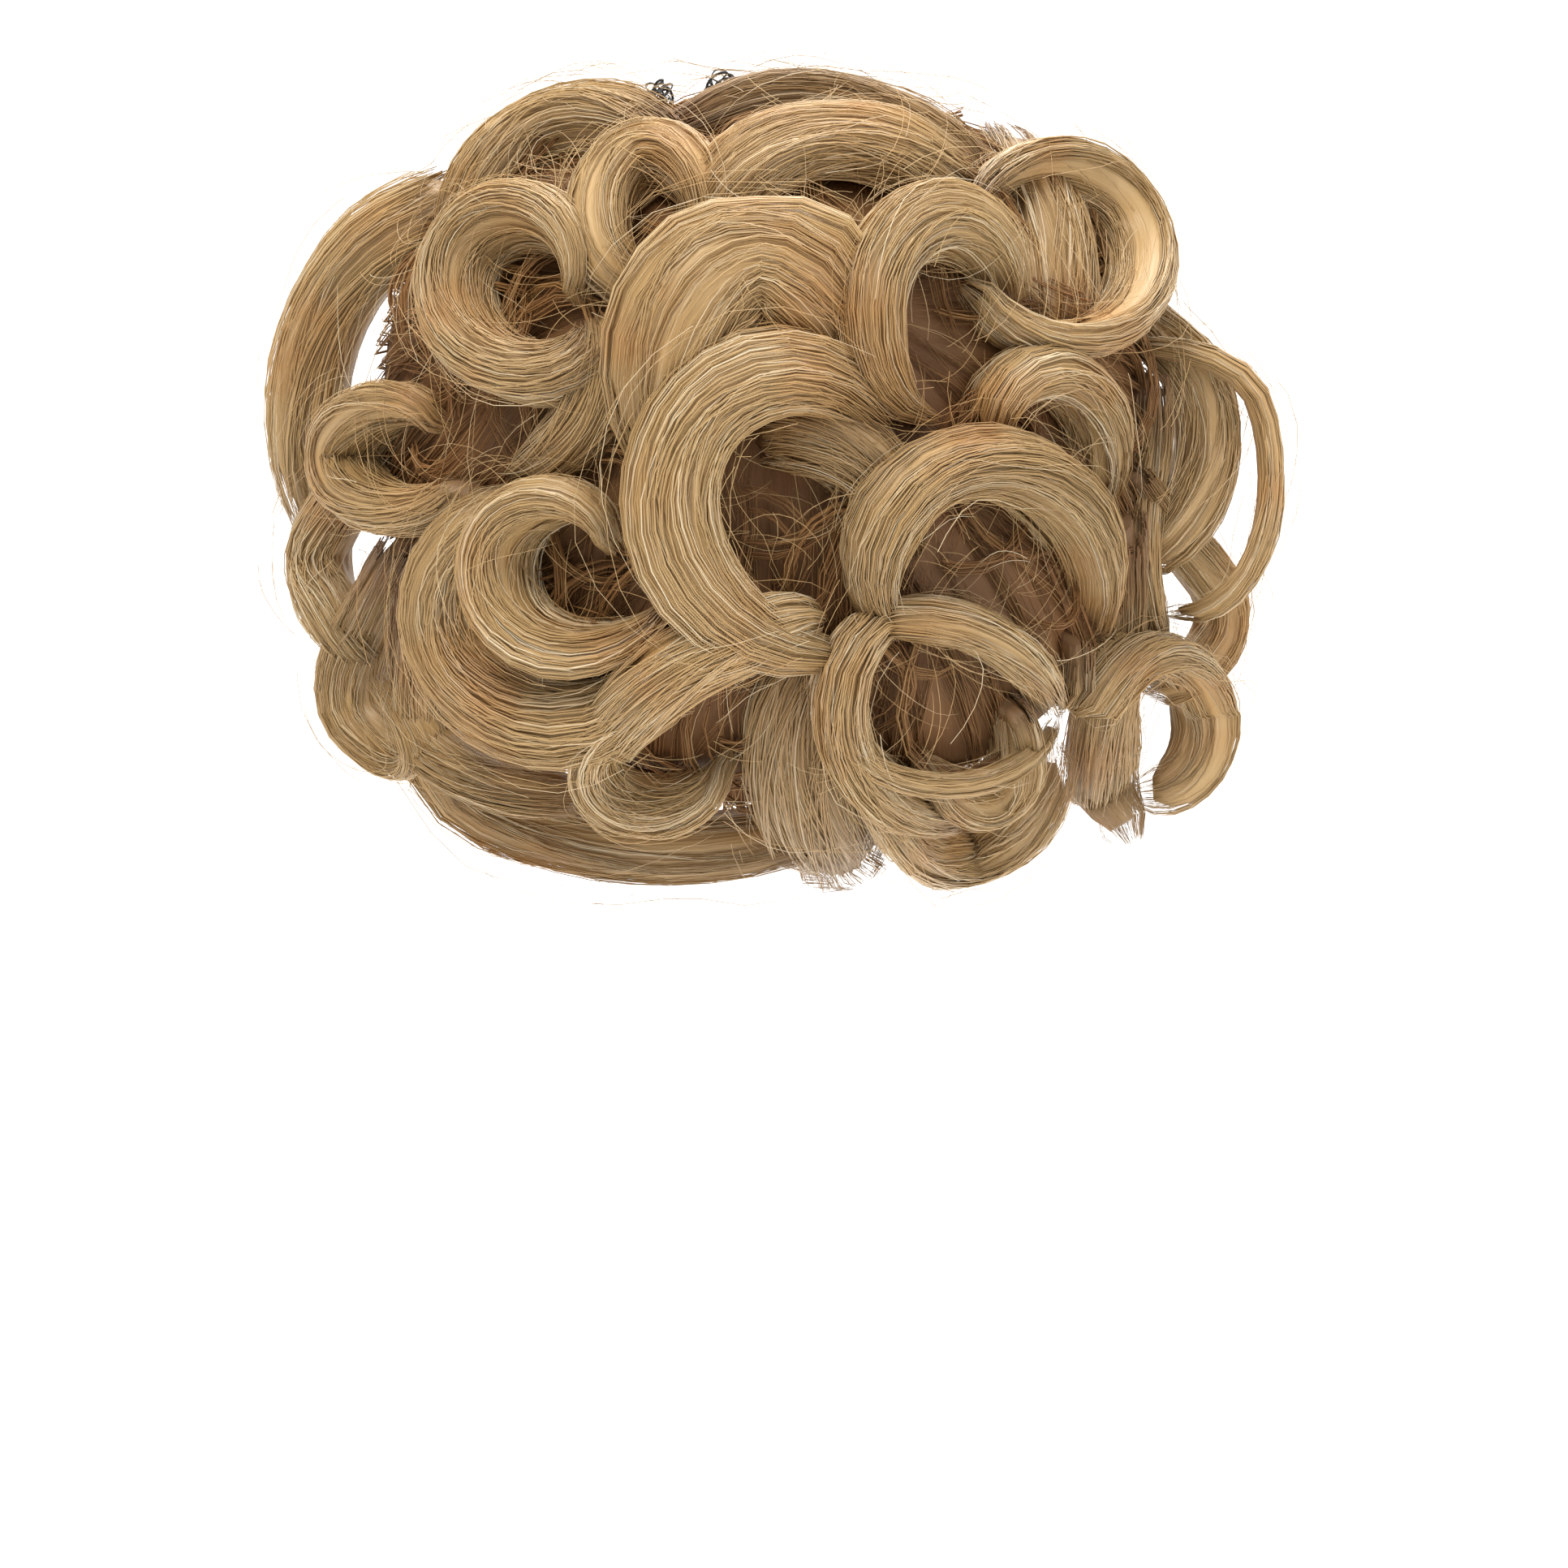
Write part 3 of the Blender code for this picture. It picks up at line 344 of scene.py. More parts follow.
LOCKS = (
    ("loop_nape_right", 0.38, -0.59, 1.49, 1.08, 0, 175, 165, 1, 1, 0.2, 0.28, 0.5, 0.9, 0.5, 0.6, 0.5),
    ("loop_far_right", 0.92, -0.01, 1.06, 1.76, 0, 95, -190, 1, 1, 0.22, 0.28, 0.7, 1.15, 0.7, 0.6, 0.5),
    ("ring_upper_left", -0.48, 0.44, 0.9, 0.92, 0, -40, -315, 1.35, 0.75, 0.8, 1.1, 0.4, 0.68, 0.45, 1.2, 0.45),
    ("curl_left_inner", -0.41, -0.25, 0.86, 0.86, 0, -25, -300, 1.7, 0.75, 0.68, 1.05, 0.35, 0.75, 0.6, 0.5, 0.3),
    ("curl_centre", 0.06, -0.07, 1.43, 1.43, 0, 35, 255, 1, 1.5, 1.3, 1, 0.4, 0.8, 0.3, 0.35, 0.15),
    ("arch_right_lower", 0.45, -0.27, 1.25, 1.31, 0, 215, -235, 1.1, 1.2, 0.95, 0.95, 0.3, 0.75, 0.4, 0.3, 0.35),
    ("arch_right_upper", 0.37, 0.4, 0.84, 1, 0, 265, -250, 1.5, 0.95, 1, 0.95, 0.35, 0.72, 0.4, 0.12, 0.5),
    ("wave_centre", 0, 0.13, 1.28, 1.79, 0, 12, 185, 1, 1, 1.9, 0.95, 0.3, 0.75, 0.5, 0.15, 0.5),
    ("ring_left_middle", -0.76, 0.04, 0.8, 0.67, 0, -25, -285, 1.4, 0.9, 0.68, 0.9, 0.4, 0.65, 0.45, 0.8, 0.5),
    ("curl_left_outer", -0.43, -0.34, 1.51, 1.48, 0, -22, -225, 1.25, 0.85, 1.17, 0.95, 0.3, 0.65, 0.4, 0.5, 0.5),
    ("arch_right_middle", 0.58, 0.04, 0.71, 0.92, 0, 172, -200, 1, 1.1, 0.72, 0.85, 0.35, 0.62, 0.3, 0.5, 0.5),
    ("roll_nape_left", -0.22, -0.74, 0.8, 0.56, 0, 80, 265, 1, 1, 0.5, 0.8, 0.6, 0.62, 0.3, 0.9, 0.6),
    ("band_nape_left", 0.17, -1.15, 3.78, 3.78, 0, 95, 45, 1, 1, 1, 0.85, 0.3, 0.65, 0.5, 0.25, 0.9),
    ("loop_right_top", 0.61, 0.53, 1.14, 1.12, 0, 155, -300, 1.1, 1.05, 0.55, 0.95, 0.35, 0.62, 0.45, 0.6, 0.5),
    ("ring_crown", -0.22, 0.6, 0.73, 0.86, 0, -15, 275, 0.8, 1.05, 0.8, 0.85, 0.25, 0.55, 0.25, 0.4, 0.8),
    ("wave_crown_right", 0.17, 0.56, 1.68, 1.2, 0, 30, 140, 1, 1, 1.17, 0.8, 0.1, 0.5, 0.25, 0.8, 0.7),
    ("wave_crown_left", -0.37, 0.57, 1.62, 1.6, 0, 48, 128, 1, 1, 0.95, 0.8, 0.1, 0.45, 0.2, 0.7, 0.6),
    ("wave_far_left", -0.595, 0.13, 2.42, 2.9, 0, 97, 106, 1, 1, 1.08, 0.9, 0.3, 0.6, 0.35, 0.8, 0.6),
    ("side_left_middle", -0.78, -0.21, 1.14, 1.22, 0, 140, 110, 1, 1, 0.9, 0.7, 0.3, 0.6, 0.3, 0.6, 0.6),
    ("loop_lower_left", -0.82, -0.6, 0.82, 0.35, -45, 160, 300, 1, 1, 0.34, 0.8, 0.35, 0.55, 0.35, 0.7, 0.7),
    ("band_nape_right", 0.32, -0.73, 1.84, 1.68, 0, 110, -85, 1, 1, 0.63, 0.65, 0.25, 0.6, 0.3, 0.4, 0.6),
    ("curl_nape_right", 0.36, -0.61, 1.22, 1.22, 0, 115, 160, 1, 1, 0.72, 0.85, 0.25, 0.6, 0.3, 0.5, 0.6),
    ("curl_nape_inner", 0.44, -0.72, 0.6, 0.6, 0, 40, -200, 1, 1, 0.55, 0.75, 0.3, 0.5, 0.35, 0.7, 0.6),
    ("ring_lower_right", 0.84, -0.66, 0.84, 1, 0, 225, -305, 1, 0.8, 0.54, 0.75, 0.4, 0.6, 0.35, 0.8, 0.4),
    ("sweep_far_right", 0.78, 0.1, 1.08, 1.55, 0, 70, -150, 1, 1, 0.68, 0.7, 0.3, 0.7, 0.4, 0.6, 0.5),
    ("bulge_far_right", 0.85, -0.36, 0.9, 0.87, 0, 75, -165, 1, 1, 0.55, 0.6, 0.35, 0.6, 0.3, 0.6, 0.6),
    ("roll_nape_right", 0.4, -0.73, 1.2, 1.14, 0, 195, 160, 1, 1, 0.6, 0.9, 0.2, 0.5, 0.25, 0.7, 0.6),
    ("band_bottom_upper", -0.41, -0.35, 2.66, 2.35, 0, 210, 60, 1, 1, 0.63, 0.7, 0.3, 0.5, 0.2, 0.6, 0.6),
    ("band_bottom_lower", -0.2, -0.41, 4.2, 2.78, 0, 203, 95, 1, 1, 0.68, 0.8, 0.25, 0.4, 0.05, 0.6, 0.6),
    ("inner_fall_centre", 0.03, -0.23, 1.53, 1.53, 0, 100, -95, 1, 1, 1.1, 0.7, 0.25, 0.4, 0.2, 0.8, 0.5),
    ("lining_right_top", 0.07, 0.51, 3.27, 3.27, 0, 28, -45, 1, 1, 1.6, 0.65, 0.1, 0.38, 0.2, 0.9, 0.8),
    ("fall_right", 1.33, -0.21, 3.27, 3.27, 0, 150, 60, 1, 1, 0.72, 0.65, 0.2, 0.4, 0.15, 0.7, 0.5),
    ("fall_left_centre", -0.58, 0.27, 1.55, 1.55, 0, 15, -85, 1, 1, 0.9, 0.7, 0.25, 0.42, 0.3, 0.6, 0.5),
    ("fill_lower_right", 1.15, -0.665, 2.5, 2.5, 0, 140, 70, 1, 1, 1.35, 0.65, 0.2, 0.35, 0.2, 0.7, 0.7),
    ("fall_nape_centre", 0.4, -0.73, 1.94, 1.94, 0, 140, 86, 1, 1, 1.5, 0.65, 0.1, 0.3, 0.1, 0.6, 0.9),
    ("band_crown", 0.07, 0.51, 2.76, 2.19, 0, 125, -97, 1, 1, 0.72, 0.55, 0.05, 0.2, 0.15, 0.6, 0.6),
)

HEAD = Vector((HEAD_HALF_WIDTH, HEAD_HALF_DEPTH, HEAD_HALF_HEIGHT))
HEAD_CENTRE = Vector((0, HEAD_HALF_DEPTH, 0))
CROWN_ANGLE = math.pi / 2 + math.asin(RIM_CROWN_FORWARD / HEAD_HALF_DEPTH)
NAPE_ANGLE = math.asin(RIM_NAPE_HEIGHT / HEAD_HALF_HEIGHT)
POLE_TILT = (CROWN_ANGLE + NAPE_ANGLE) / 2
RIM_ANGLE = (CROWN_ANGLE - NAPE_ANGLE) / 2
BUN_HALF_WIDTH = HEAD_HALF_WIDTH + CURL_BASE + CURL_RISE
BUN_HALF_HEIGHT = (BUN_TOP - BUN_BOTTOM) / 2
BUN_MIDDLE = (BUN_TOP + BUN_BOTTOM) / 2
BUN_CENTRE = Vector((0, HEAD_HALF_DEPTH, BUN_MIDDLE))
BACKWARDS = Vector((0, -math.cos(POLE_TILT), math.sin(POLE_TILT)))
CROWNWARDS = Vector((0, math.sin(POLE_TILT), math.cos(POLE_TILT)))


def cap_way(polar, spoke):
    """The direction at an angle from the cap's middle, going round it from the crown."""
    round_it = math.sin(spoke) * Vector((1, 0, 0)) + math.cos(spoke) * CROWNWARDS
    return math.cos(polar) * BACKWARDS + math.sin(polar) * round_it


def head_point(way, offset):
    return HEAD_CENTRE + Vector(way[i] * (HEAD[i] + offset) for i in range(3))


def cap_point(polar, spoke, offset):
    return head_point(cap_way(polar, spoke), offset)


def bed_surface(way, extra):
    """The bed's outside in a direction from the bun's middle: round from above, squarer from the side."""
    half_width = HEAD_HALF_WIDTH + CURL_BASE + BED_SIDE_FULLNESS * CURL_RISE + extra
    half_depth = HEAD_HALF_DEPTH + CURL_BASE + BED_FULLNESS * CURL_RISE + extra
    level = math.hypot(way.x / half_width, way.y / half_depth)
    upright = abs(way.z) / (BUN_HALF_HEIGHT - BED_INSET + extra)
    power = BUN_POWER_ABOVE if way.z > 0 else BUN_POWER_BELOW
    return BUN_CENTRE + way / (level ** power + upright ** power) ** (1 / power)


def bun_point(x, z, rise):
    """The bun's point seen at x and z from behind, at a rise over the curls' base, and the way off it."""
    up = min(1.0, abs(z - BUN_MIDDLE) / BUN_HALF_HEIGHT)
    power = BUN_POWER_ABOVE if z > BUN_MIDDLE else BUN_POWER_BELOW
    fullness = max(LEAST_FULLNESS, (1 - up ** power) ** (1 / power))
    half_width = (HEAD_HALF_WIDTH + CURL_BASE + rise) * fullness
    half_depth = (HEAD_HALF_DEPTH + CURL_BASE + rise) * fullness
    share = abs(x) / half_width
    past = max(0.0, share - WRAP_FROM) / math.cos(math.asin(WRAP_FROM))
    angle = math.asin(min(share, WRAP_FROM)) + past
    angle = math.copysign(min(angle, WRAP_MOST), x)
    level = fullness ** (power - 1)
    upright = math.copysign(up ** (power - 1), z - BUN_MIDDLE)
    off = Vector((level * math.sin(angle), -level * math.cos(angle), upright)).normalized()
    return Vector((x, HEAD_HALF_DEPTH - half_depth * math.cos(angle), z)), off


def bed_below(point):
    """The place on the bed, inside its rim, that lies below a point of the bun."""
    way = (point - BUN_CENTRE).normalized()
    polar = min(way.angle(BACKWARDS), RIM_ANGLE * ROOTS_REACH)
    sideways = (way - way.dot(BACKWARDS) * BACKWARDS).normalized()
    return bed_surface(math.cos(polar) * BACKWARDS + math.sin(polar) * sideways, 0.0)


def lock_path(row, share):
    """Where a lock's middle line is at a share of its length, and the direction straight off the bun there."""
    angle = math.radians(row["start"] + row["turn"] * share)
    nearness_to_root = max(0.0, 1 - 2 * share)
    nearness_to_tip = max(0.0, 2 * share - 1)
    widening = 1 + (row["opening"] - 1) * nearness_to_root ** WIDENING_POWER
    widening += (row["closing"] - 1) * nearness_to_tip ** WIDENING_POWER
    a = CURL_RADIUS * row["wide"] * widening * math.cos(angle)
    b = CURL_RADIUS * row["tall"] * widening * math.sin(angle)
    lean = math.radians(row["lean"])
    x = row["across"] * BUN_HALF_WIDTH + a * math.cos(lean) - b * math.sin(lean)
    z = BUN_MIDDLE + row["up"] * BUN_HALF_HEIGHT + a * math.sin(lean) + b * math.cos(lean)
    at_root, at_tip = ends(share)
    rise = CURL_RISE * lock_height(row, at_root, at_tip)
    point, off = bun_point(x, z, rise)
    return point.lerp(bed_below(point), at_root), off


def ends(share):
    """How near a share of a lock's length is to its root and its tip, from 1 there to 0 past each end."""
    return max(0.0, 1 - share / END_LENGTH) ** 2, max(0.0, 1 - (1 - share) / END_LENGTH) ** 2


def lock_height(row, at_root, at_tip):
    """How high a lock lies over the curls' base, as a share of the rise of the highest curl."""
    return row["crest"] + (row["root"] - row["crest"]) * at_root + (row["tip"] - row["crest"]) * at_tip


def lock_frames(row, count):
    """For each station of a lock: its middle, the ways along it and off the bun, and the bend there.

    From the middle station to both ends, each frame is turned as little as its path allows.
    """
    places = []
    for station in range(count):
        share = station / (count - 1)
        middle, out = lock_path(row, share)
        arriving = (middle - lock_path(row, share - PATH_STEP)[0])
        leaving = (lock_path(row, share + PATH_STEP)[0] - middle)
        along = (arriving.normalized() + leaving.normalized()).normalized()
        bend = (leaving.normalized() - arriving.normalized()) / ((arriving.length + leaving.length) / 2)
        places.append([middle, along, out - out.dot(along) * along, bend])
    half = count // 2
    places[half][2].normalize()
    for stations, back in ((range(half + 1, count), -1), (range(half - 1, -1, -1), 1)):
        for station in stations:
            along = places[station][1]
            carried = places[station + back][2]
            carried = (carried - carried.dot(along) * along).normalized()
            places[station][2] = (carried * FRAME_STEADINESS + places[station][2]).normalized()
    return places


# The curls: each is one lock of filament wound on a roller, set, and pinned with its root in the bed. The
# packed hair inside a lock is ridged along its length, and the filaments lie over it in clumps and run a
# little past its tip. Shade is painted into the colour: a lock that lies low is darker, and so are its root,
# its underside and the middles of its two ends.
DRAWS_FROM, DEGREES_PER_STATION, LEAST_PAIRS = 400, 25, 7
CORE_SIDES, CORE_SHARE, RIDGE_SIZE, SWELLS_PER_LOCK, CORE_ROUNDING = 40, 0.84, 0.08, 9, (0.55, 0.88, 1.0)
DEEPEST_SHADE, MOST_LOW_SHADE, SHADE_LOST_WITH_HEIGHT, ROOT_SHADE = 0.75, 0.62, 1.2, 0.55
UNDERSIDE_SHADE, UNDERSIDE_FROM, MOST_UNDERSIDE_SHADE, END_SHADE, END_TINT = 0.35, 0.3, 0.9, 0.6, 0.3
STREAKS_ROUND, STREAKS_ALONG, STREAKS_APART = 1.7, 4, 7
TIP_LENGTH, TIP_NARROWING = 0.006, 0.5
THIN_LOCK_FILAMENTS, FULL_LOCK_FILAMENTS, FULL_LOCK = 40, 170, 1.9
THIN_LOCK_STRAYS, FULL_LOCK_STRAYS = 16, 24


def lock_piece(row, number):
    draw = np.random.default_rng(DRAWS_FROM + number)
    count = 2 * max(LEAST_PAIRS, round(abs(row["turn"]) / DEGREES_PER_STATION)) + 1
    guide = []
    for station, (middle, along, off, bend) in enumerate(lock_frames(row, count)):
        share = station / (count - 1)
        side = along.cross(off)
        at_root, at_tip = ends(share)
        taper = 1 + (row["root_size"] - 1) * at_root + (row["tip_size"] - 1) * at_tip
        half_breadth = LOCK_BREADTH * row["breadth"] * taper
        half_depth = LOCK_DEPTH * row["depth"] * (1 + min(1.0, taper)) / 2
        half_breadth = min(half_breadth, TIGHTEST_SHARE / max(abs(bend.dot(side)), LEAST_BEND))
        half_depth = min(half_depth, TIGHTEST_SHARE / max(abs(bend.dot(off)), LEAST_BEND))
        # painted shade: a lock is darker the lower it lies, and darker still at its root
        low = max(0.0, MOST_LOW_SHADE - SHADE_LOST_WITH_HEIGHT * lock_height(row, at_root, at_tip))
        shade = min(DEEPEST_SHADE, low + ROOT_SHADE * at_root ** 2)
        guide.append([middle, side, off, half_breadth, half_depth, share, shade])
    tip, tip_side, tip_off, tip_breadth, tip_depth, _, tip_shade = guide[-1]
    past_tip = tip + (tip - guide[-2][0]).normalized() * TIP_LENGTH
    breadth, depth = TIP_NARROWING * tip_breadth, TIP_NARROWING * tip_depth
    combed_past = [[past_tip, tip_side, tip_off, breadth, depth, 1.0, tip_shade]]
    ridges = draw.uniform(-1, 1, CORE_SIDES)
    swells = draw.uniform(0, math.tau, CORE_SIDES)
    tints = draw.uniform(0.1, 0.7, CORE_SIDES)
    corners = []
    for station, (middle, side, off, half_breadth, half_depth, share, shade) in enumerate(guide):
        rounding = CORE_ROUNDING[min(station, count - 1 - station, len(CORE_ROUNDING) - 1)]
        for column in range(CORE_SIDES):
            turn = math.tau * column / CORE_SIDES - math.pi / 2
            across, outwards = math.cos(turn), math.sin(turn)
            square = (abs(across) ** SQUARENESS + abs(outwards) ** SQUARENESS) ** (-1 / SQUARENESS)
            swell = 0.5 * math.sin(SWELLS_PER_LOCK * share + swells[column])
            reach = square * CORE_SHARE * rounding * (1 + RIDGE_SIZE * (ridges[column] + swell))
            place = middle + side * (across * reach * half_breadth) + off * (outwards * reach * half_depth)
            # painted shade on the underside of the lock
            under = min(MOST_UNDERSIDE_SHADE, shade + UNDERSIDE_SHADE * max(0.0, UNDERSIDE_FROM - outwards))
            comb = (column * STREAKS_ROUND, share * STREAKS_ALONG, number * STREAKS_APART)
            corners.append((place, tints[column], under, comb))
    faces = []
    for station in range(count - 1):
        here, there = station * CORE_SIDES, (station + 1) * CORE_SIDES
        for column in range(CORE_SIDES):
            following = (column + 1) % CORE_SIDES
            faces.append((here + column, here + following, there + following, there + column))
    for end in (0, count - 1):
        # painted shade at the middle of each end
        corners.append((guide[end][0], END_TINT, END_SHADE, (0, 0, number)))
        for column in range(CORE_SIDES):
            pair = [end * CORE_SIDES + column, end * CORE_SIDES + (column + 1) % CORE_SIDES]
            faces.append([*(reversed(pair) if end == 0 else pair), len(corners) - 1])
    fullness = min(1.0, (row["breadth"] + row["depth"]) / FULL_LOCK)
    piece = combed(
        row["name"] + "_combed", [guide + combed_past], (corners, faces), CURL_HAIR,
        {
            "Filaments": int(THIN_LOCK_FILAMENTS + FULL_LOCK_FILAMENTS * fullness), "Clump": 5,
            "Spread": 0.18, "Twist": 1.3, "Nearest": CORE_SHARE, "Farthest": 1.08, "Clump Wander": 0.0014,
            "Filament Wander": 0.0008, "Radius": 0.00021, "Root Scatter": 0.06, "Tip Scatter": 0.13,
            "Strays": int(THIN_LOCK_STRAYS + FULL_LOCK_STRAYS * fullness), "Stray Reach": 1.7,
            "Stray Wander": 0.010, "Stray Radius": 0.0001, "Seed": 100 * number,
        },
    )
    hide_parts(row["name"])


for number, values in enumerate(LOCKS):
    lock_piece(dict(zip(LOCK_COLUMNS, values)), number)


# The bed: short wefts machine-sewn in rows round the net, with the hair of every curl's root packed over
# them. It is combed from the rim in towards the bun, in flatter and matter locks than the curls, and loose
# waves that slipped off the rollers lie across it. Its colours are a darker copy of the curls' blonde, and
# its shell and wefts are mixed further towards the dark brown: painted shade for the bed below the curls.
# painted shade: the same blonde fibre as the curls, coloured darker for the bed below them
BED_HAIR_IN_PAINTED_SHADE = hair_material(
    "packed_blonde_wefts_matt_painted_shade", "#45250E", "#7C5730", "#966C3C", "#9C6630", "#BC935A", 0.55
)
BED_RINGS, BED_SPOKES, BED_INSIDE, SUNK = 20, 56, 0.0015, 0.0015
# painted shade: the shell and the wefts get a fixed amount of the dark brown, the loose waves a random one
BED_TINT, BED_SHADE, BED_STREAKS_ROUND, BED_STREAKS_ALONG, BED_STREAKS_APART = 0.3, 0.5, 9.0, 0.4, 3.0
WEFTS, WEFT_STEPS, WEFT_FROM, WEFT_BREADTH, WEFT_DEPTH, WEFT_SHADE = 66, 9, 0.99, 0.007, 0.0014, 0.35
WAVES, WAVE_STEPS, WAVE_DEPTH = 110, 9, 0.0022


def bed_place(polar_share, around, extra):
    edge = RIM_ANGLE + NAPE_HANG * ((1 - math.cos(around)) / 2) ** 2
    return bed_surface(cap_way(edge * polar_share, around), extra)


def bed_shell():
    cells = []
    for spoke in range(BED_SPOKES):
        following = (spoke + 1) % BED_SPOKES
        cells.append([(0, 0), (1, following), (1, spoke)])
        for ring in range(1, BED_RINGS):
            cells.append([(ring, spoke), (ring, following), (ring + 1, following), (ring + 1, spoke)])
    keys = sorted({key for cell in cells for key in cell})
    index = {key: i for i, key in enumerate(keys)}
    corners = []
    for outside in (True, False):
        for ring, spoke in keys:
            around = math.tau * spoke / BED_SPOKES
            if outside:
                place = bed_place(ring / BED_RINGS, around, -SUNK)
            else:
                place = cap_point(RIM_ANGLE * ring / BED_RINGS, around, BED_INSIDE)
            comb = (spoke * BED_STREAKS_ROUND, ring * BED_STREAKS_ALONG, BED_STREAKS_APART)
            corners.append((place, BED_TINT, BED_SHADE, comb))
    below = len(keys)
    faces, edges = [], set()
    for cell in cells:
        loop = [index[key] for key in cell]
        faces.append(loop)
        faces.append([below + c for c in reversed(loop)])
        edges.update(zip(loop, loop[1:] + loop[:1]))
    for a, b in sorted(edges):
        if (b, a) not in edges:
            faces.append([b, a, below + a, below + b])
    return corners, faces


def bed_guide(places, half_breadth, half_depth, shade):
    guide = []
    for i, place in enumerate(places):
        along = (places[min(i + 1, len(places) - 1)] - places[max(i - 1, 0)]).normalized()
        off = (place - BUN_CENTRE).normalized()
        off = (off - off.dot(along) * along).normalized()
        guide.append([place, along.cross(off), off, half_breadth, half_depth, i / (len(places) - 1), shade])
    return guide


def bed_guides():
    draw = np.random.default_rng(71)
    guides = []
    for number in range(WEFTS):
        around = math.tau * (number + draw.uniform(-0.3, 0.3)) / WEFTS
        swirl, inner_end = draw.uniform(-0.5, 0.5), draw.uniform(0.1, 0.55)
        rim = cap_point(RIM_ANGLE, around, BED_INSIDE + 0.001)
        places = [rim.lerp(bed_place(1.0, around, 0.0), share) for share in (0.1, 0.55)]
        for step in range(WEFT_STEPS):
            share = step / (WEFT_STEPS - 1)
            inwards = WEFT_FROM + (inner_end - WEFT_FROM) * share
            places.append(bed_place(inwards, around + swirl * share * share, 0.0))
        guides.append(bed_guide(places, WEFT_BREADTH, WEFT_DEPTH, WEFT_SHADE))
    for number in range(WAVES):
        middle = cap_way(RIM_ANGLE * math.sqrt(draw.uniform(0.0, 0.8)), draw.uniform(0, math.tau))
        first = middle.cross(Vector((0, 0, 1))).normalized()
        second = middle.cross(first)
        radius, start, turn = draw.uniform(0.10, 0.26), draw.uniform(0, math.tau), draw.uniform(1.4, 3.2)
        lift = draw.uniform(0.002, 0.007)
        places = []
        for step in range(WAVE_STEPS):
            share = step / (WAVE_STEPS - 1)
            angle = start + turn * share
            way = (middle + radius * (math.cos(angle) * first + math.sin(angle) * second)).normalized()
            places.append(bed_surface(way, lift * math.sin(math.pi * share)))
        guides.append(bed_guide(places, draw.uniform(0.002, 0.005), WAVE_DEPTH, draw.uniform(0.0, 0.3)))
    return guides


BED = combed(
    "weft_bed_combed", bed_guides(), bed_shell(), BED_HAIR_IN_PAINTED_SHADE,
    {
        "Filaments": 13, "Clump": 3, "Spread": 0.5, "Twist": 0.8, "Nearest": 0.1, "Farthest": 1.1,
        "Clump Wander": 0.0022, "Filament Wander": 0.0012, "Radius": 0.00024, "Root Scatter": 0.05,
        "Tip Scatter": 0.3, "Strays": 0, "Stray Reach": 1.0, "Stray Wander": 0.0, "Stray Radius": 0.0001,
        "Seed": 9000,
    },
)
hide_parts("weft_bed")


# The flyaways: single filaments that came loose in the brushing and lie across the curls at any angle. They
# are drawn a little thicker than the real 0.07 mm fibre, so that they still show in the picture.
LOOSE_PAIRS, LOOSE_STEPS, LOOSE_SPREAD = 300, 12, 0.003


def flyaway_guides():
    draw = np.random.default_rng(23)
    guides = []
    for number in range(LOOSE_PAIRS):
        middle = cap_way(RIM_ANGLE * math.sqrt(draw.uniform(0.0, 0.7)), draw.uniform(0, math.tau))
        first = middle.cross(Vector((0, 0, 1))).normalized()
        second = middle.cross(first)
        radius, start, turn = draw.uniform(0.12, 0.32), draw.uniform(0, math.tau), draw.uniform(0.7, 2.6)
        low, high = draw.uniform(0.004, 0.016), draw.uniform(0.008, 0.018)
        places = []
        for step in range(LOOSE_STEPS):
            share = step / (LOOSE_STEPS - 1)
            angle = start + turn * share
            way = (middle + radius * (math.cos(angle) * first + math.sin(angle) * second)).normalized()
            places.append(bed_surface(way, low + (high - low) * share))
        guides.append(bed_guide(places, LOOSE_SPREAD, LOOSE_SPREAD, 0.0))
    return guides


NO_SHELL = ([], [])
FLYAWAYS = combed(
    "loose_flyaways", flyaway_guides(), NO_SHELL, CURL_HAIR,
    {
        "Filaments": 2, "Clump": 1, "Spread": 0.0, "Twist": 0.6, "Nearest": 0.0, "Farthest": 1.2,
        "Clump Wander": 0.005, "Filament Wander": 0.001, "Radius": 0.0001, "Root Scatter": 0.3,
        "Tip Scatter": 0.5, "Strays": 0, "Stray Reach": 1.0, "Stray Wander": 0.0, "Stray Radius": 0.0001,
        "Seed": 9500,
    },
)


# The net cap: a coarse bowl of flat black elastic cord, with a fine knotted net of thinner yarn across it.
# The cord's knitted cover has a stitch about every 0.7 mm and a faint grey fuzz.
STITCHES_PER_METRE, STITCH_HEIGHT, YARN_RADIUS, YARN_INSIDE = 1400.0, 0.0003, 0.00024, 0.0006
YARNS, YARN_STEPS, YARN_SPIRAL, YARN_RIM, YARN_RUN = 40, 26, 0.9, 0.995, 0.93


def yarn_material(name, colour, scale, height):
    made, tree, shader = plain_material(name)
    place = add(tree, "ShaderNodeTexCoord").outputs["Object"]
    knit = add(tree, "ShaderNodeTexVoronoi", {"Vector": place, "Scale": scale}).outputs["Distance"]
    fuzz = add(
        tree, "ShaderNodeTexNoise", {"Vector": place, "Scale": scale * 0.3, "Detail": 3.0}
    ).outputs["Fac"]
    shade = ramp(tree, fuzz, ((0.3, colour), (0.75, "#3A3632")))
    tree.links.new(shade, shader.inputs["Base Color"])
    bump = add(tree, "ShaderNodeBump", {"Height": knit, "Strength": 0.8, "Distance": height})
    tree.links.new(bump.outputs[0], shader.inputs["Normal"])
    shader.inputs["Roughness"].default_value = 0.82
    shader.inputs["Sheen Weight"].default_value = 0.25
    return made


ELASTIC_CORD = yarn_material("knitted_black_elastic_cord", "#0E0D0C", STITCHES_PER_METRE, STITCH_HEIGHT)
NET_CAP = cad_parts["net_cap"]
NET_CAP.data.materials.clear()
NET_CAP.data.materials.append(ELASTIC_CORD)


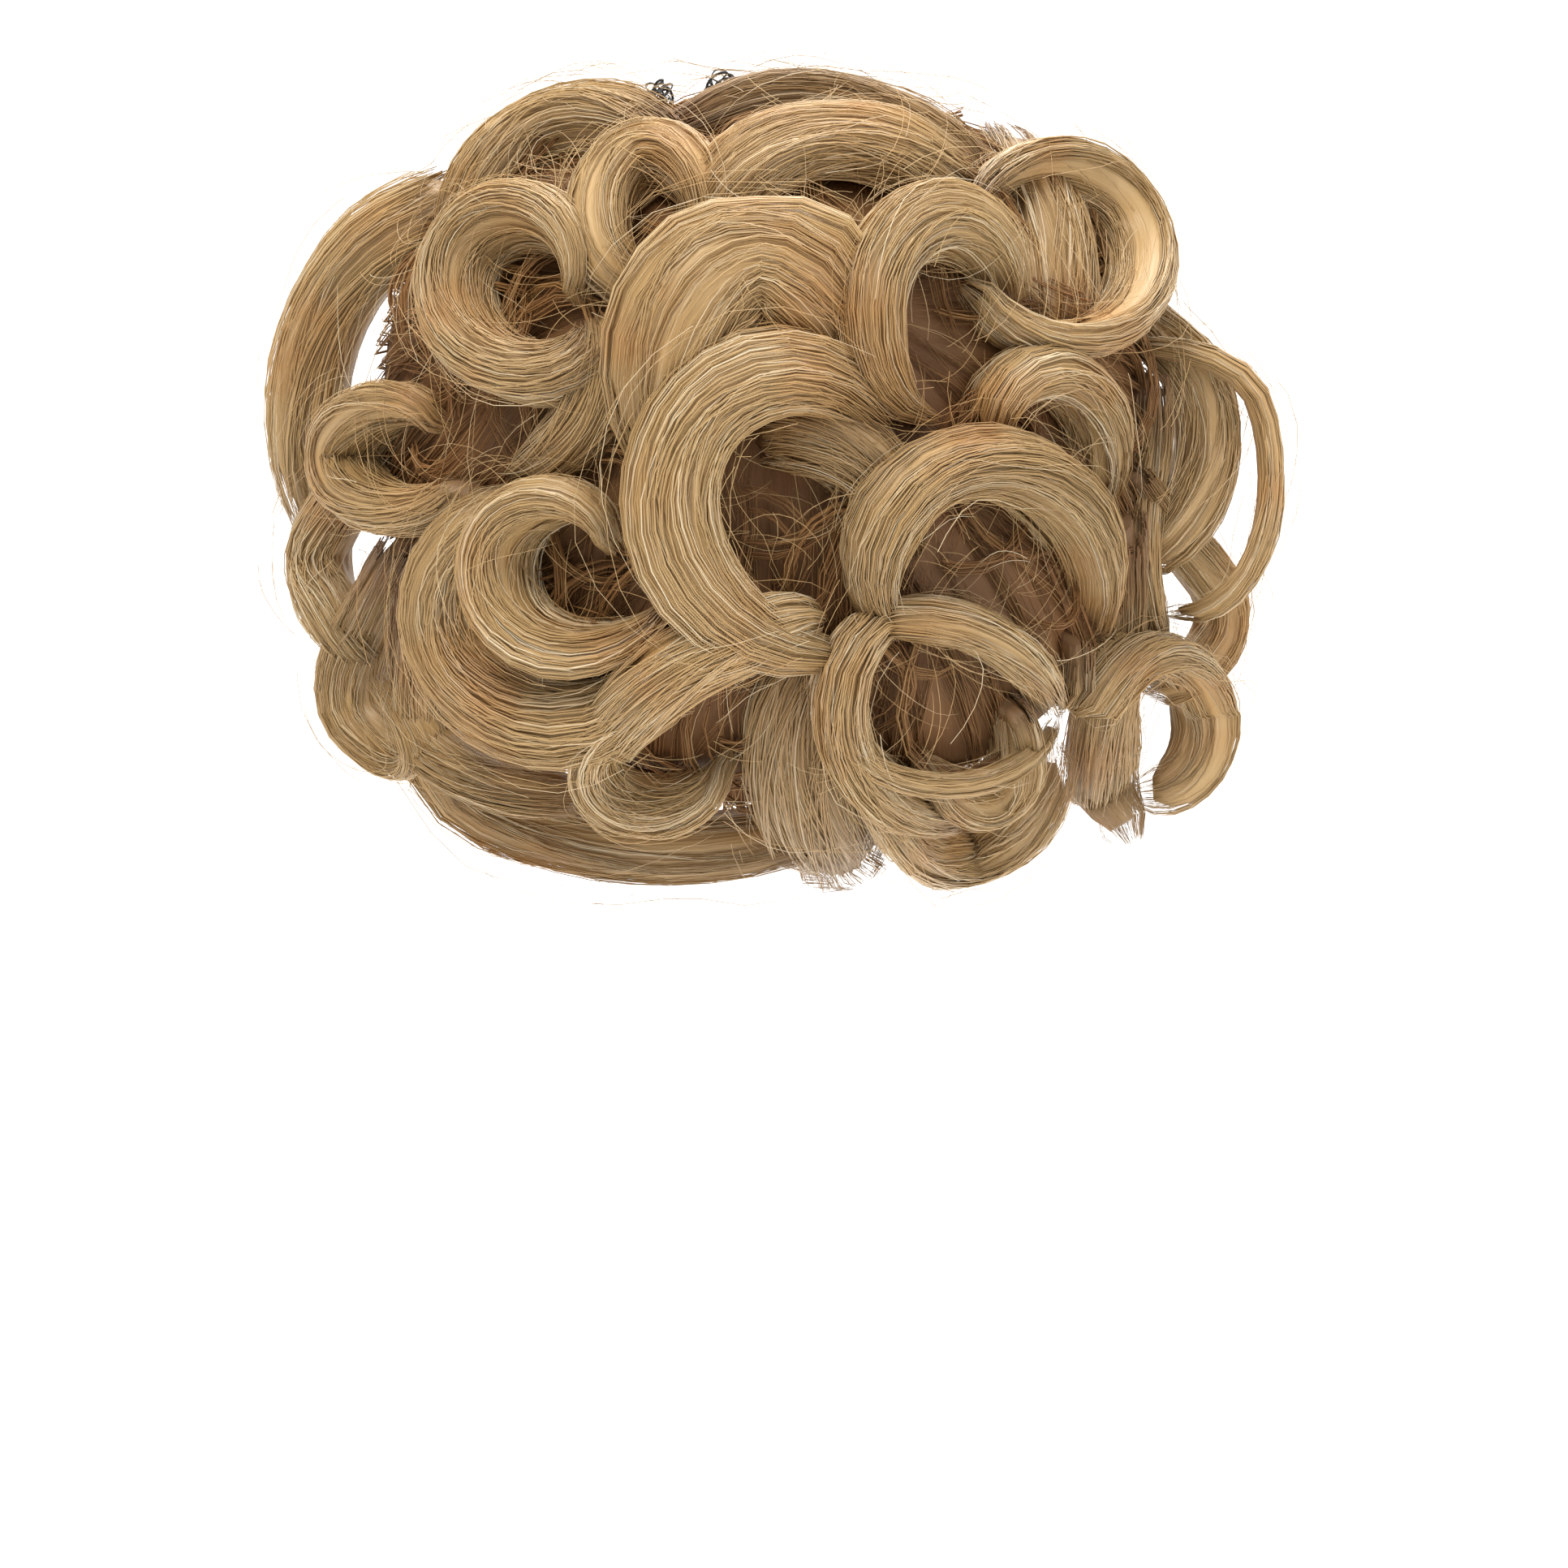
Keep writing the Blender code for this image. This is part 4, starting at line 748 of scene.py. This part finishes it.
def net_yarns():
    """Two crossing families of yarn that spiral in over the bowl, half way through the cords' thickness."""
    guides = []
    for family in (-1, 1):
        for number in range(YARNS):
            guide = []
            for step in range(YARN_STEPS):
                share = step / (YARN_STEPS - 1)
                around = math.tau * number / YARNS + family * YARN_SPIRAL * share
                place = cap_point(RIM_ANGLE * (YARN_RIM - YARN_RUN * share), around, YARN_INSIDE)
                guide.append([place, (1, 0, 0), (0, 0, 1), 0.0, 0.0, share, 0.0])
            guides.append(guide)
    return guides


PLAIN_YARN = {
    "Filaments": 1, "Clump": 1, "Spread": 0.0, "Twist": 0.0, "Nearest": 0.0, "Farthest": 0.0,
    "Clump Wander": 0.0, "Filament Wander": 0.0, "Root Scatter": 0.0, "Tip Scatter": 0.0, "Strays": 0,
    "Stray Reach": 0.0, "Stray Wander": 0.0, "Stray Radius": 0.0001,
}
NET_YARN = combed(
    "net_yarns", net_yarns(), NO_SHELL, ELASTIC_CORD, {**PLAIN_YARN, "Radius": YARN_RADIUS, "Seed": 1}
)


# The rim elastic: a round black cord, its knitted cover gathered in small even ribs as it was stitched on.
def edge_elastic():
    radius, standoff, stations, sides, gathers = 0.0016, 0.0026, 560, 10, 140
    points, faces = [], []
    beyond = RIM_ANGLE + standoff / HEAD_HALF_DEPTH
    for station in range(stations):
        around = math.tau * station / stations
        middle = cap_point(beyond, around, radius)
        off = (cap_point(beyond, around, 2 * radius) - middle).normalized()
        ahead, behind = (cap_point(beyond, around + nudge, radius) for nudge in (0.01, -0.01))
        side = (ahead - behind).normalized().cross(off)
        rib = radius * (0.93 + 0.07 * math.cos(gathers * around))
        for i in range(sides):
            turn = math.tau * i / sides
            points.append(tuple(middle + rib * (math.cos(turn) * off + math.sin(turn) * side)))
    for station in range(stations):
        here, there = station * sides, (station + 1) % stations * sides
        for i in range(sides):
            j = (i + 1) % sides
            faces.append((here + i, here + j, there + j, there + i))
    mesh = bpy.data.meshes.new("edge_elastic_gathered")
    mesh.from_pydata(points, [], faces)
    mesh.shade_smooth()
    mesh.materials.append(ELASTIC_CORD)
    piece = bpy.data.objects.new("edge_elastic_gathered", mesh)
    bpy.context.scene.collection.objects.link(piece)
    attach(piece, "root")
    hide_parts("edge_elastic")


edge_elastic()


# The knots: where the elastic is tied off at the crown edge, its black ends curl up out of the hair. Each is
# a loose ball of loops, at a place (x, y, z) and with a half size in metres.
KNOT_PLACES = (
    (-0.0300, 0.062, 0.106, 0.0034),
    (-0.0125, 0.060, 0.108, 0.0042),
    (0.0345, 0.062, 0.106, 0.0026),
)
KNOT_LOOPS, KNOT_STEPS, KNOT_SWING, KNOT_CORD_RADIUS = 9, 22, 0.8, 0.0004


def knot_guides():
    draw = np.random.default_rng(5)
    guides = []
    for x, y, z, size in KNOT_PLACES:
        for loop in range(KNOT_LOOPS):
            phases = draw.uniform(0, math.tau, 3)
            rates = draw.uniform(3.5, 8.0, 3)
            centre = Vector((x, y, z)) + Vector(draw.uniform(-0.6, 0.6, 3) * size)
            guide = []
            for step in range(KNOT_STEPS):
                share = step / (KNOT_STEPS - 1)
                swing = [math.sin(phases[i] + rates[i] * share) * size * KNOT_SWING for i in range(3)]
                guide.append([centre + Vector(swing), (1, 0, 0), (0, 0, 1), 0.0, 0.0, share, 0.0])
            guides.append(guide)
    return guides


KNOTS = combed(
    "crown_knots", knot_guides(), NO_SHELL, ELASTIC_CORD,
    {**PLAIN_YARN, "Radius": KNOT_CORD_RADIUS, "Seed": 2},
)


# The combs: injection-moulded dark brown plastic, polished in the mould and lightly scuffed by use. The
# scuffs are about 2 mm long and so shallow that they show in the gloss alone.
SCUFFS_PER_METRE, SCUFF_DEPTH, POLISH, SCUFFED_MORE = 420.0, 0.0002, 0.16, 0.25


def comb_material():
    made, tree, shader = plain_material("moulded_brown_comb_plastic")
    place = add(tree, "ShaderNodeTexCoord").outputs["Object"]
    scuffs = add(
        tree, "ShaderNodeTexNoise", {"Vector": place, "Scale": SCUFFS_PER_METRE, "Detail": 4.0}
    ).outputs["Fac"]
    tree.links.new(ramp(tree, scuffs, ((0.35, "#1E130D"), (0.8, "#35241A"))), shader.inputs["Base Color"])
    tree.links.new(maths(tree, "MULTIPLY_ADD", scuffs, SCUFFED_MORE, POLISH), shader.inputs["Roughness"])
    bump = add(tree, "ShaderNodeBump", {"Height": scuffs, "Strength": 0.15, "Distance": SCUFF_DEPTH})
    tree.links.new(bump.outputs[0], shader.inputs["Normal"])
    return made


COMB_PLASTIC = comb_material()
for name in ("comb_crown", "comb_nape"):
    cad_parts[name].data.materials.clear()
    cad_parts[name].data.materials.append(COMB_PLASTIC)


# The studio: a pale seamless sweep of paper well below and behind the hair, lit by large soft boxes.
def studio():
    floor, front, bend_from, bend, bend_steps, top, half_width = -0.52, -4.0, 1.2, 0.8, 12, 3.2, 4.0
    profile = [(front, floor), (bend_from, floor)]
    for step in range(1, bend_steps + 1):
        turn = math.pi / 2 * step / bend_steps
        profile.append((bend_from + bend * math.sin(turn), floor + bend * (1 - math.cos(turn))))
    profile.append((bend_from + bend, top))
    points, faces = [], []
    for y, z in profile:
        points += [(-half_width, y, z), (half_width, y, z)]
    for i in range(len(profile) - 1):
        faces.append((2 * i, 2 * i + 1, 2 * i + 3, 2 * i + 2))
    mesh = bpy.data.meshes.new("paper_sweep")
    mesh.from_pydata(points, [], faces)
    mesh.shade_smooth()
    paper, tree, shader = plain_material("matt_white_paper")
    shader.inputs["Base Color"].default_value = linear("#F4F3F1")
    shader.inputs["Roughness"].default_value = 0.9
    mesh.materials.append(paper)
    sweep = bpy.data.objects.new("paper_sweep", mesh)
    bpy.context.scene.collection.objects.link(sweep)
    world = bpy.data.worlds.new("studio_air")
    world.use_nodes = True
    world.node_tree.nodes["Background"].inputs[0].default_value = linear("#FBFBFF")
    world.node_tree.nodes["Background"].inputs[1].default_value = 0.55
    bpy.context.scene.world = world
    for name, place, size, power, colour in (
        ("key_box", (-0.7, -1.5, 1.5), 0.9, 34.0, "#FFF8EE"),
        ("fill_box", (1.5, -1.4, 0.5), 1.2, 16.0, "#F6F8FF"),
        ("top_box", (0.1, 0.1, 1.7), 1.1, 22.0, "#FFFFFF"),
        ("paper_box", (0.0, 0.9, 1.9), 1.8, 40.0, "#FFFFFF"),
    ):
        light = bpy.data.lights.new(name, "AREA")
        light.energy = power
        light.size = size
        light.color = linear(colour)[:3]
        lamp = bpy.data.objects.new(name, light)
        lamp.location = place
        target = Vector((0, 1.9, 0.3)) if name == "paper_box" else Vector((0, 0.03, 0))
        lamp.rotation_euler = (target - Vector(place)).to_track_quat("-Z", "Y").to_euler()
        bpy.context.scene.collection.objects.link(lamp)


studio()


# The camera looks level at the back of the head, aimed below the bun as the photograph is.
def camera():
    photo_side, distance, across, height = 0.435, 2.04, 0.0058, -0.0905
    lens = bpy.data.cameras.new("camera")
    lens.lens = lens.sensor_width * distance / photo_side
    seen = bpy.data.objects.new("camera", lens)
    seen.location = (across, -distance, height)
    seen.rotation_euler = (math.pi / 2, 0, 0)
    bpy.context.scene.collection.objects.link(seen)
    bpy.context.scene.camera = seen


camera()
bpy.context.scene.view_settings.view_transform = "Standard"
